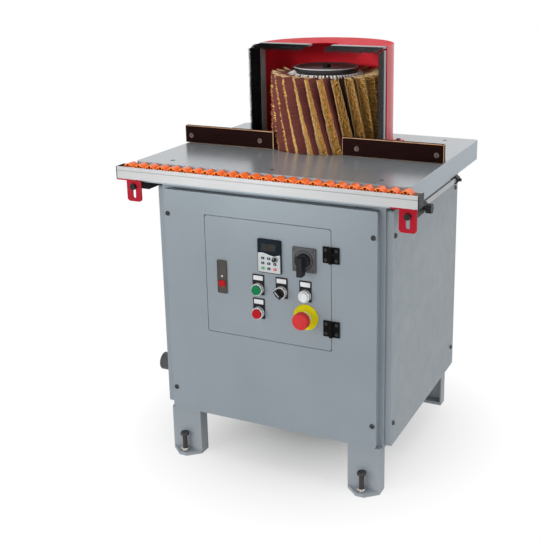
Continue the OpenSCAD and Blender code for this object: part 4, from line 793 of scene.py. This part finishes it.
def addTuft(bm, lean, curl, place):
    f = fibre
    count = int(f["length"] / f["pitch"])
    lowest, highest = -brush["length"] / 2 - f["below"], brush["length"] / 2 + f["above"]
    for row in range(f["rows"]):
        share = row / (f["rows"] - 1)
        for i in range(count):
            height = (i + dice.random()) * f["length"] / count - f["length"] / 2
            apart = max(share + dice.gauss(0, f["apartChance"]), 0)
            reach = brush["radius"] - f["slope"] * min(apart, 1.1) - abs(dice.gauss(0, f["endChance"])) * mm
            path = leaningPath(height, f["offset"] + f["firstRow"] - f["allRows"] * share,
                               lean + f["fan"] * apart, curl + 0.4 + f["bush"] * apart, reach, 4)[2:]
            drift = dice.gauss(*f["drift"])
            line = []
            for j, (x, y) in enumerate(path):
                h = min(max(height + drift * (j / (len(path) - 1)) ** 2, lowest), highest)
                line.append(place @ Vector((x, y, levelled(h, y, f["offset"]))))
            strand(bm, line, f["radius"] * dice.uniform(*f["thickness"]), f["taper"], 0)


# loose ends above the cut
def addLooseEnds(bm, lean, curl, place):
    f = fibre
    for i in range(f["loose"]):
        height = brush["length"] / 2 - dice.uniform(*f["looseBelow"]) * mm
        path = leaningPath(height, f["offset"], lean, curl + dice.uniform(*f["looseCurl"]),
                           brush["radius"] - dice.uniform(*f["looseShort"]) * mm, 6)[3:]
        rise = dice.uniform(*f["looseRise"]) * mm
        line = []
        for j, (x, y) in enumerate(path):
            lift = rise * (j / (len(path) - 1)) ** 2
            line.append(place @ Vector((x, y, levelled(height, y, f["offset"]) + lift)))
        strand(bm, line, f["radius"] * 0.9, 0.6, 2)


# pale cords, in threes, that come out from under the disc
def addCords(bm):
    c = cords
    for i in range(c["count"]):
        a = 2 * math.pi * (i + dice.uniform(-0.2, 0.2)) / c["count"]
        reach, drop = dice.gauss(*c["reach"]), dice.gauss(*c["drop"]) * mm
        for side in (-1, 0, 1):
            turn = a + side * c["radius"] * c["apart"] / c["around"] + dice.gauss(0, 0.004)
            line = []
            for r, z in (*c["path"], (reach, -drop)):
                line.append(Vector((brushCentre.x + r * math.cos(turn), brushCentre.y + r * math.sin(turn),
                                    discLow.z + z)))
            strand(bm, line, c["radius"], 0.75, 1)


def makeFibres():
    bm = bmesh.new()
    for lean, curl, place in packs():
        addRoot(bm, place)
        addBacking(bm, lean, curl, place)
        addTuft(bm, lean, curl, place)
        addLooseEnds(bm, lean, curl, place)
    addCords(bm)
    finishPiece("fibreTufts", bm, ("sisalFibre", "rootWhite", "palestFibre"), "spindle",
                ("flap_bristles",))


makeFlaps()
makeFibres()
print("flap brush made")

# screws: sizes and lengths in millimetres, places in metres
screws = {"headRadius": 6, "headHeight": 3.5, "socket": 2.6, "shank": 3,
          "panelX": 0.2625, "panelZ": (0.176, 0.6285), "frontY": -0.2757, "rearY": 0.2622, "panelLength": 26,
          "sideX": 0.3007, "sideY": (-0.2403, 0.2268), "sideLength": 24.4,
          "tableX": 0.266, "tableY": 0.237, "tableLength": 17,
          "fenceX": (-0.33701, -0.13655, 0.32701, 0.12655), "fenceY": -0.035, "fenceZ": 0.7691,
          "fenceLength": 17,
          "hoodTurns": (31, 149), "hoodReach": 0.188, "hoodTab": 0.0032, "hoodLength": 11,
          "motorTurns": (45, 135, 225, 315), "motorReach": 0.092, "motorZ": 0.6980, "motorLength": 20,
          "driveX": 0.126, "driveY": -0.1049, "driveZ": (0.135, 0.6658), "driveLength": 12}
foot = {"x": 0.2404, "y": (-0.2845, 0.260), "core": 5.3, "thread": 5.95, "pitch": 1.9, "turns": 26}


def buttonScrew(bm, place, length, mat):
    r, h, k, s = (screws[key] for key in ("headRadius", "headHeight", "socket", "shank"))
    socketHead(bm, [(s, -length), (s, 0), (r, 0), (r, h * 0.22), (r * 0.94, h * 0.52), (r * 0.78, h * 0.82),
                    (r * 0.58, h)], [(k * 1.05, h), (k * 0.97, h * 0.96), (k * 0.95, h * 0.35)], place, mat)


def flatScrew(bm, place, length, mat):
    r, h, k, s = (screws[key] for key in ("headRadius", "headHeight", "socket", "shank"))
    socketHead(bm, [(s, -length), (s, -h), (r * 0.95, -0.25), (r * 0.95, -0.05), (r * 0.62, -0.05)],
               [(k * 1.05, -0.05), (k, -h * 0.6)], place, mat)


def levellingBolt(bm, place):
    thread = [(5.2, 0.2), (5.9, 1)]
    for i in range(foot["turns"]):
        z = 1.6 + foot["pitch"] * i
        thread += [(foot["core"], z), (foot["thread"], z + 0.8)]
    turned(bm, thread, place, 0, 24)
    head = [circle(9.2, 51), hexagon(11, 51.6), hexagon(11, 57.9), circle(9.4, 59), circle(4, 58.6)]
    nut = [circle(9.2, 8.3), hexagon(10.9, 9), hexagon(10.9, 16.2), circle(9.3, 17.1), circle(6.1, 17.1)]
    skin(bm, head, place, 0)
    skin(bm, nut, place, 1)


# place on a circle round the hood's axis
def roundHood(reach, degrees, z):
    x, y = machine["hoodAxis"]
    a = math.radians(degrees)
    return placed(x + reach * math.cos(a), y + reach * math.sin(a), z, "Z", degrees)


def makeScrews():
    s = screws
    bm = bmesh.new()
    for side in (-1, 1):
        for z in s["panelZ"]:
            for y, degrees in ((s["frontY"], 90), (s["rearY"], -90)):
                buttonScrew(bm, placed(side * s["panelX"], y, z, "X", degrees), s["panelLength"], 0)
            for y in s["sideY"]:
                buttonScrew(bm, placed(side * s["sideX"], y, z, "Y", side * 90), s["sideLength"], 0)
        for z in s["driveZ"]:
            buttonScrew(bm, placed(side * s["driveX"], s["driveY"], z, "X", 90), s["driveLength"], 1)
        for y in foot["y"]:
            levellingBolt(bm, placed(side * foot["x"], y, 0))
    for column, row in ((-1, -1), (0, -1), (1, -1), (-1, 1), (1, 1)):
        at = placed(column * s["tableX"], row * s["tableY"], machine["tableTop"])
        flatScrew(bm, at, s["tableLength"], 0)
    for x in s["fenceX"]:
        flatScrew(bm, placed(x, s["fenceY"], s["fenceZ"], "X", 90), s["fenceLength"], 2)
    for a in s["hoodTurns"]:
        buttonScrew(bm, roundHood(s["hoodReach"], a, machine["hoodLow"] + s["hoodTab"]), s["hoodLength"], 0)
    for a in s["motorTurns"]:
        buttonScrew(bm, roundHood(s["motorReach"], a, s["motorZ"]), s["motorLength"], 0)
    finishPiece("screwSet", bm, ("blackSteel", "zincSteel", "fenceScrew"), "cabinet",
                ("fasteners",))


makeScrews()
print("screws made")

# door controls: x and z of each centre and y of the door's face in metres, all other sizes in millimetres
door = {"face": -0.2755, "start": (-0.0222, 0.4723), "stop": (-0.0222, 0.4134), "selector": (0.0381, 0.4723),
        "lamp": (0.0985, 0.4723), "estop": (0.0985, 0.4193), "keypad": (0.0091, 0.5555),
        "switch": (0.0968, 0.5579), "latch": (-0.1183, 0.4887), "gap": 0.2}


# place on the door's front, z towards the user
def onDoor(name, right=0, up=0):
    x, z = door[name]
    return placed(x + right * mm, door["face"], z + up * mm, "X", 90)


legend = {"size": (30, 50), "thick": 2, "rise": 10, "label": (24.5, 11), "labelRise": 26.5, "disc": 31,
          "discBore": 12, "plate": 58, "plateThick": 5, "screwOff": 23.5}


def makeLegends():
    g = legend
    bm = bmesh.new()
    low, high = door["gap"], door["gap"] + g["thick"]
    w, h = g["label"]
    grown = ((2.4, 1.4), (2.0, 1.2), (0.6, 0.8), (0.2, 0.7))
    border = [(w + grow, h + grow, corner) for grow, corner in grown]
    for name in ("start", "stop", "selector", "lamp"):
        labelAt = onDoor(name, 0, g["labelRise"])
        plate(bm, *g["size"], 1.2, low, high, 0.5, onDoor(name, 0, g["rise"]), 0)
        raisedFrame(bm, border, high - 0.1, high + 0.35, labelAt, 0)
        plate(bm, w, h, 0.7, high - 0.2, high + 0.2, 0.15, labelAt, 1)
    r = g["disc"]
    turned(bm, [(r, low), (r, high - 0.5), (r - 0.5, high), (r * 0.80, high), (r * 0.79, high - 0.12),
                (r * 0.77, high - 0.12), (r * 0.76, high), (g["discBore"], high)], onDoor("estop"), 2, 64)
    w, face = g["plate"], low + g["plateThick"]
    plate(bm, w, w, 2.5, low, face, 0.9, onDoor("switch"), 3)
    raisedRing(bm, (23, 22.8, 21.6, 21.4), face - 0.1, face + 0.5, onDoor("switch"), 0, 48)
    screw = [(2.3, face - 0.1), (2.2, face + 0.7), (1.6, face + 0.9), (0.9, face + 0.9), (0.8, face + 0.3)]
    for right in (-g["screwOff"], g["screwOff"]):
        for up in (-g["screwOff"], g["screwOff"]):
            turned(bm, screw, onDoor("switch", right, up), 4, 16)
    finishPiece("legendSet", bm, ("legendBlack", "labelWhite", "warnYellow", "switchGrey", "blackSteel"),
                "door", ("legend_plates",))


bezel = {"radius": 14.5, "front": 2.4, "height": 11, "bore": 11.8, "recess": 9, "throat": 8.1, "barrel": 11,
         "block": 26, "blockScrew": (7, 6), "switchBlock": 46}


def makeBezels():
    z = bezel
    bm = bmesh.new()
    r, bore, front = z["radius"], z["bore"], z["front"]
    top = front + z["height"]
    floor = top - z["recess"]
    profile = [(r, front), (r, front + 1.5), (r - 0.5, front + 1.9), (r - 0.5, front + 2.5), (r, front + 2.9),
               (r, top - 1.6), (r - 0.7, top - 0.4), (r - 1.3, top), (bore + 0.4, top), (bore, top - 0.5),
               (bore, floor), (z["throat"], floor), (z["throat"], -18)]
    right, up = z["blockScrew"]
    for name in ("start", "stop", "selector", "lamp", "estop"):
        turned(bm, profile, onDoor(name), 0, 48)
        turned(bm, [(z["barrel"], -19), (z["barrel"], 2.5)], onDoor(name), 1)
        turned(bm, [(r, -4.6), (r, -2.3)], onDoor(name), 1, 12)  # nut behind the door
        plate(bm, z["block"], z["block"], 1.5, -46, -20, 0.8, onDoor(name), 1)
        for side in (-1, 1):  # clamp screws of the contact block
            turned(bm, [(2.6, -47), (2.6, -45.5)], onDoor(name, side * right, up), 3, 12)
    plate(bm, z["switchBlock"], z["switchBlock"], 2, -42.2, -2.2, 1, onDoor("switch"), 1)
    turned(bm, [(11.4, top - 4), (11.4, top + 1.6), (10.8, top + 2.5), (8.6, top + 3.0), (3, top + 3.15)],
           onDoor("lamp"), 2, 40)
    finishPiece("bezelSet", bm, ("bezelMetal", "contactPlastic", "lampLens", "zincSteel"), "door",
                ("control_bezels",))


keypad = {"size": (60, 81), "thick": 5, "corner": 3, "key": (8, 6), "keyRise": 1,
          "across": (0.233, 0.49, 0.75), "up": (0.437, 0.293, 0.137), "waveRise": 0.545, "wave": 0.035,
          "waveSteps": 24, "figures": 4, "figurePitch": 8.2}
flatSegments = [(0, up, 3.4, 0.7) for up in (4.2, 0, -4.2)]
uprightSegments = [(right, up, 0.7, 3.2) for up in (2.1, -2.1) for right in (-2.1, 2.1)]


# offset of a key from the keypad's middle
def keyOffset(row, column):
    w, h = keypad["size"]
    return w * (keypad["across"][column] - 0.5), h * (keypad["up"][row] - 0.5)


def makeKeypad():
    k = keypad
    w, h = k["size"]
    low, top = door["gap"], door["gap"] + k["thick"]
    here = onDoor("keypad")
    bm = bmesh.new()
    plate(bm, w, h, k["corner"], low, top, 0.9, here, 0)
    plate(bm, w * 0.8, h * 0.8, 1, -24, low + 0.2, 0.4, here, 0)
    shares = [i / k["waveSteps"] for i in range(k["waveSteps"] + 1)]
    across = [w * (share - 0.5) * 0.95 for share in shares]
    waves = [h * (k["waveRise"] - 0.5 + k["wave"] * math.sin(2 * math.pi * share + 0.4)) for share in shares]
    upper = list(zip(across, waves))  # waved upper edge of the pale lower face
    lower = [(x, -h / 2 + 2) for x in across]
    stripe = upper + [(x, y + 1.5) for x, y in upper[::-1]]
    raised(bm, lower + upper[::-1], top - 0.05, top + 0.22, here, 1)
    raised(bm, stripe, top - 0.05, top + 0.32, here, 6)
    glass = here @ Matrix.Translation((-w * 0.02, h * 0.27, 0))
    plate(bm, w * 0.70, h * 0.26, 1.5, top - 0.05, top + 0.35, 0.2, glass, 0)
    plate(bm, w * 0.62, h * 0.21, 0.8, top, top + 0.5, 0.15, glass, 2)
    for i in range(k["figures"]):  # segments of the unlit figures
        for right, up, wide, tall in flatSegments + uprightSegments:
            right += (i - (k["figures"] - 1) / 2) * k["figurePitch"]
            at = glass @ Matrix.Translation((right, up, 0))
            plate(bm, wide, tall, 0.25, top + 0.4, top + 0.53, 0.04, at, 3)
    keyTop = top + k["keyRise"]
    for row in range(3):
        for column in range(3):
            at = here @ Matrix.Translation((*keyOffset(row, column), 0))
            if (row, column) == (0, 2):  # ring round the small knob
                raisedRing(bm, (7.6, 7.5, 6.6, 6.5), top - 0.05, top + 0.35, at, 0, 32)
                continue
            kind = {(2, 0): 4, (2, 2): 5}.get((row, column), 3)
            plate(bm, *k["key"], 1.2, top - 0.2, keyTop + 0.05, 0.45, at, kind)
            mark = at @ Matrix.Rotation(math.radians(90 * ((row + 2 * column) % 4)), 4, "Z")
            raised(bm, ((-1.3, -0.9), (1.3, -0.9), (0, 1.2)), keyTop, keyTop + 0.14, mark, 6)  # plain arrow
    finishPiece("keypadSet", bm, ("keypadNavy", "keypadGrey", "displayGlass", "keyDark", "keyGreen", "keyRed",
                                  "labelWhite"), "door", ("speed_keypad",))


# small marks and trims on the moving controls
trim = {"selectorTurn": 45, "selectorTop": 25.2, "knobTop": 13.4, "latchFrameUp": 20, "latchButtonUp": -16.4,
        "latchFrame": ((17.5, 30, 3), (17.5, 30, 3), (15.5, 28, 2.4), (15.5, 28, 2.4)),
        "latchButton": ((20, 18.5, 2), (19.6, 18.1, 2), (18.1, 16.2, 1.2), (18.1, 16.2, 1.2))}


def makeTrims():
    t = trim
    bm = bmesh.new()
    turn = Matrix.Rotation(math.radians(t["selectorTurn"]), 4, "Z")
    plate(bm, 1.6, 15, 0.4, t["selectorTop"] - 0.3, t["selectorTop"] + 0.18, 0.1,
          onDoor("selector") @ turn @ Matrix.Translation((0, 2, 0)), 0)
    finishPiece("selectorLine", bm, ("labelWhite",), "selector_knob")
    bm = bmesh.new()
    plate(bm, 1.0, 3.6, 0.2, t["knobTop"] - 1.3, t["knobTop"] - 0.5, 0.1,
          onDoor("keypad", *keyOffset(0, 2)) @ Matrix.Translation((0, 2.2, 0)), 0)
    finishPiece("speedKnobLine", bm, ("labelWhite",), "keypad_knob")
    bm = bmesh.new()
    turned(bm, [(2.3, 1.7), (2.3, 2.15), (2.0, 2.3), (0.8, 2.35)], onDoor("latch", 0, 1.5), 0, 20)
    raisedFrame(bm, t["latchFrame"], 1.9, 2.5, onDoor("latch", 0, t["latchFrameUp"]), 1)
    raisedFrame(bm, t["latchButton"], 1.9, 2.7, onDoor("latch", 0, t["latchButtonUp"]), 1)
    finishPiece("latchTrim", bm, ("labelWhite", "latchPlastic"), "door")


# hinge axis, heights and offsets in metres, the leaves' front in millimetres
hinge = {"axis": 0.163, "heights": (0.4005, 0.5769), "reach": 0.0129, "spread": 0.0115, "front": 3.7}


def makeHingeScrews():
    low = hinge["front"]
    head = [(3.6, low - 1), (3.6, low + 0.25), (3.2, low + 0.6), (2.3, low + 0.6)]
    for name, side, body in (("hingeScrewsDoor", -1, "door"), ("hingeScrewsFixed", 1, "cabinet")):
        bm = bmesh.new()
        for height in hinge["heights"]:
            for up in (-hinge["spread"], hinge["spread"]):
                at = placed(hinge["axis"] + side * hinge["reach"], door["face"], height + up, "X", 90)
                socketHead(bm, head, [(1.9, low + 0.55), (1.8, low - 0.6)], at, 0)
        finishPiece(name, bm, ("blackSteel",), body)


makeLegends()
makeBezels()
makeKeypad()
makeTrims()
makeHingeScrews()
print("door controls made")

# studio: pale floor that keeps the shadow, white beyond it, soft lamps
studio = {"floorSize": 14.0, "floorColour": (0.92, 0.92, 0.92), "fadeFrom": 0.0, "fadeTo": 0.5,
          "ambient": 0.38, "aim": (0, 0, 0.55)}
areaLamps = {  # place, size, power and whether it shows in glossy surfaces; the front lamps would glare
    "keyLamp": ((-1.7, -2.5, 1.05), 2.0, 33, False), "frontLamp": ((1.3, -2.8, 0.85), 1.7, 13, False),
    "sideLamp": ((2.3, -0.2, 2.2), 1.6, 14, True), "topLamp": ((0.3, 0.2, 3.2), 2.4, 30, True)}
brushLamp = {"place": (-0.50, -2.45, 1.34), "aim": (0.03, 0.06, 0.89), "power": 265, "cone": 14, "size": 0.25}


def cameraOrGloss(tree):
    path = put(tree, "ShaderNodeLightPath").outputs
    seen = sums("MAXIMUM", path["Is Camera Ray"], path["Is Glossy Ray"])
    return sums("MAXIMUM", seen, path["Is Transmission Ray"])


def mixShaders(surface, factor, first, second):
    mix = put(treeOf(surface), "ShaderNodeMixShader", None, (factor, first, second))
    setSocket(treeOf(surface), surface, mix.outputs[0])


def makeFloor():
    half = studio["floorSize"] / 2
    mesh = bpy.data.meshes.new("floor")
    corners = [(-half, -half, 0), (half, -half, 0), (half, half, 0), (-half, half, 0)]
    mesh.from_pydata(corners, [], [(0, 1, 2, 3)])
    floor = bpy.data.objects.new("floor", mesh)
    bpy.context.scene.collection.objects.link(floor)
    mat = bpy.data.materials.new("floorPaper")
    tree, surface = startTree(mat, "ShaderNodeOutputMaterial")
    paper = principled(tree, base=studio["floorColour"], rough=0.9, gloss=0.1)
    glow = put(tree, "ShaderNodeEmission", Color=(1.0, 1.0, 1.0), Strength=1.0).outputs[0]
    far = remap(vectorSums("LENGTH", spot(tree))["Value"], studio["fadeFrom"], studio["fadeTo"])
    mixShaders(surface, sums("MULTIPLY", cameraOrGloss(tree), far), paper, glow)
    mesh.materials.append(mat)


def makeWorld():
    world = bpy.data.worlds.new("studioAir")
    bpy.context.scene.world = world
    tree, surface = startTree(world, "ShaderNodeOutputWorld")
    air, white = (put(tree, "ShaderNodeBackground", Color=(1.0, 1.0, 1.0), Strength=strength).outputs[0]
                  for strength in (studio["ambient"], 1.0))
    mixShaders(surface, cameraOrGloss(tree), air, white)


def addLamp(name, kind, place, aim, power, glossy, **settings):
    data = bpy.data.lights.new(name, kind)
    data.energy = power
    for key, value in settings.items():
        setattr(data, key, value)
    lamp = bpy.data.objects.new(name, data)
    lamp.location = place
    lamp.rotation_euler = (Vector(aim) - Vector(place)).to_track_quat("-Z", "Y").to_euler()
    lamp.visible_glossy = glossy
    bpy.context.scene.collection.objects.link(lamp)


makeFloor()
makeWorld()
for name, (place, size, power, glossy) in areaLamps.items():
    addLamp(name, "AREA", place, studio["aim"], power, glossy, shape="DISK", size=size)
addLamp("brushLamp", "SPOT", brushLamp["place"], brushLamp["aim"], brushLamp["power"], False,
        spot_size=math.radians(brushLamp["cone"]), spot_blend=1.0, shadow_soft_size=brushLamp["size"])
print("studio set")
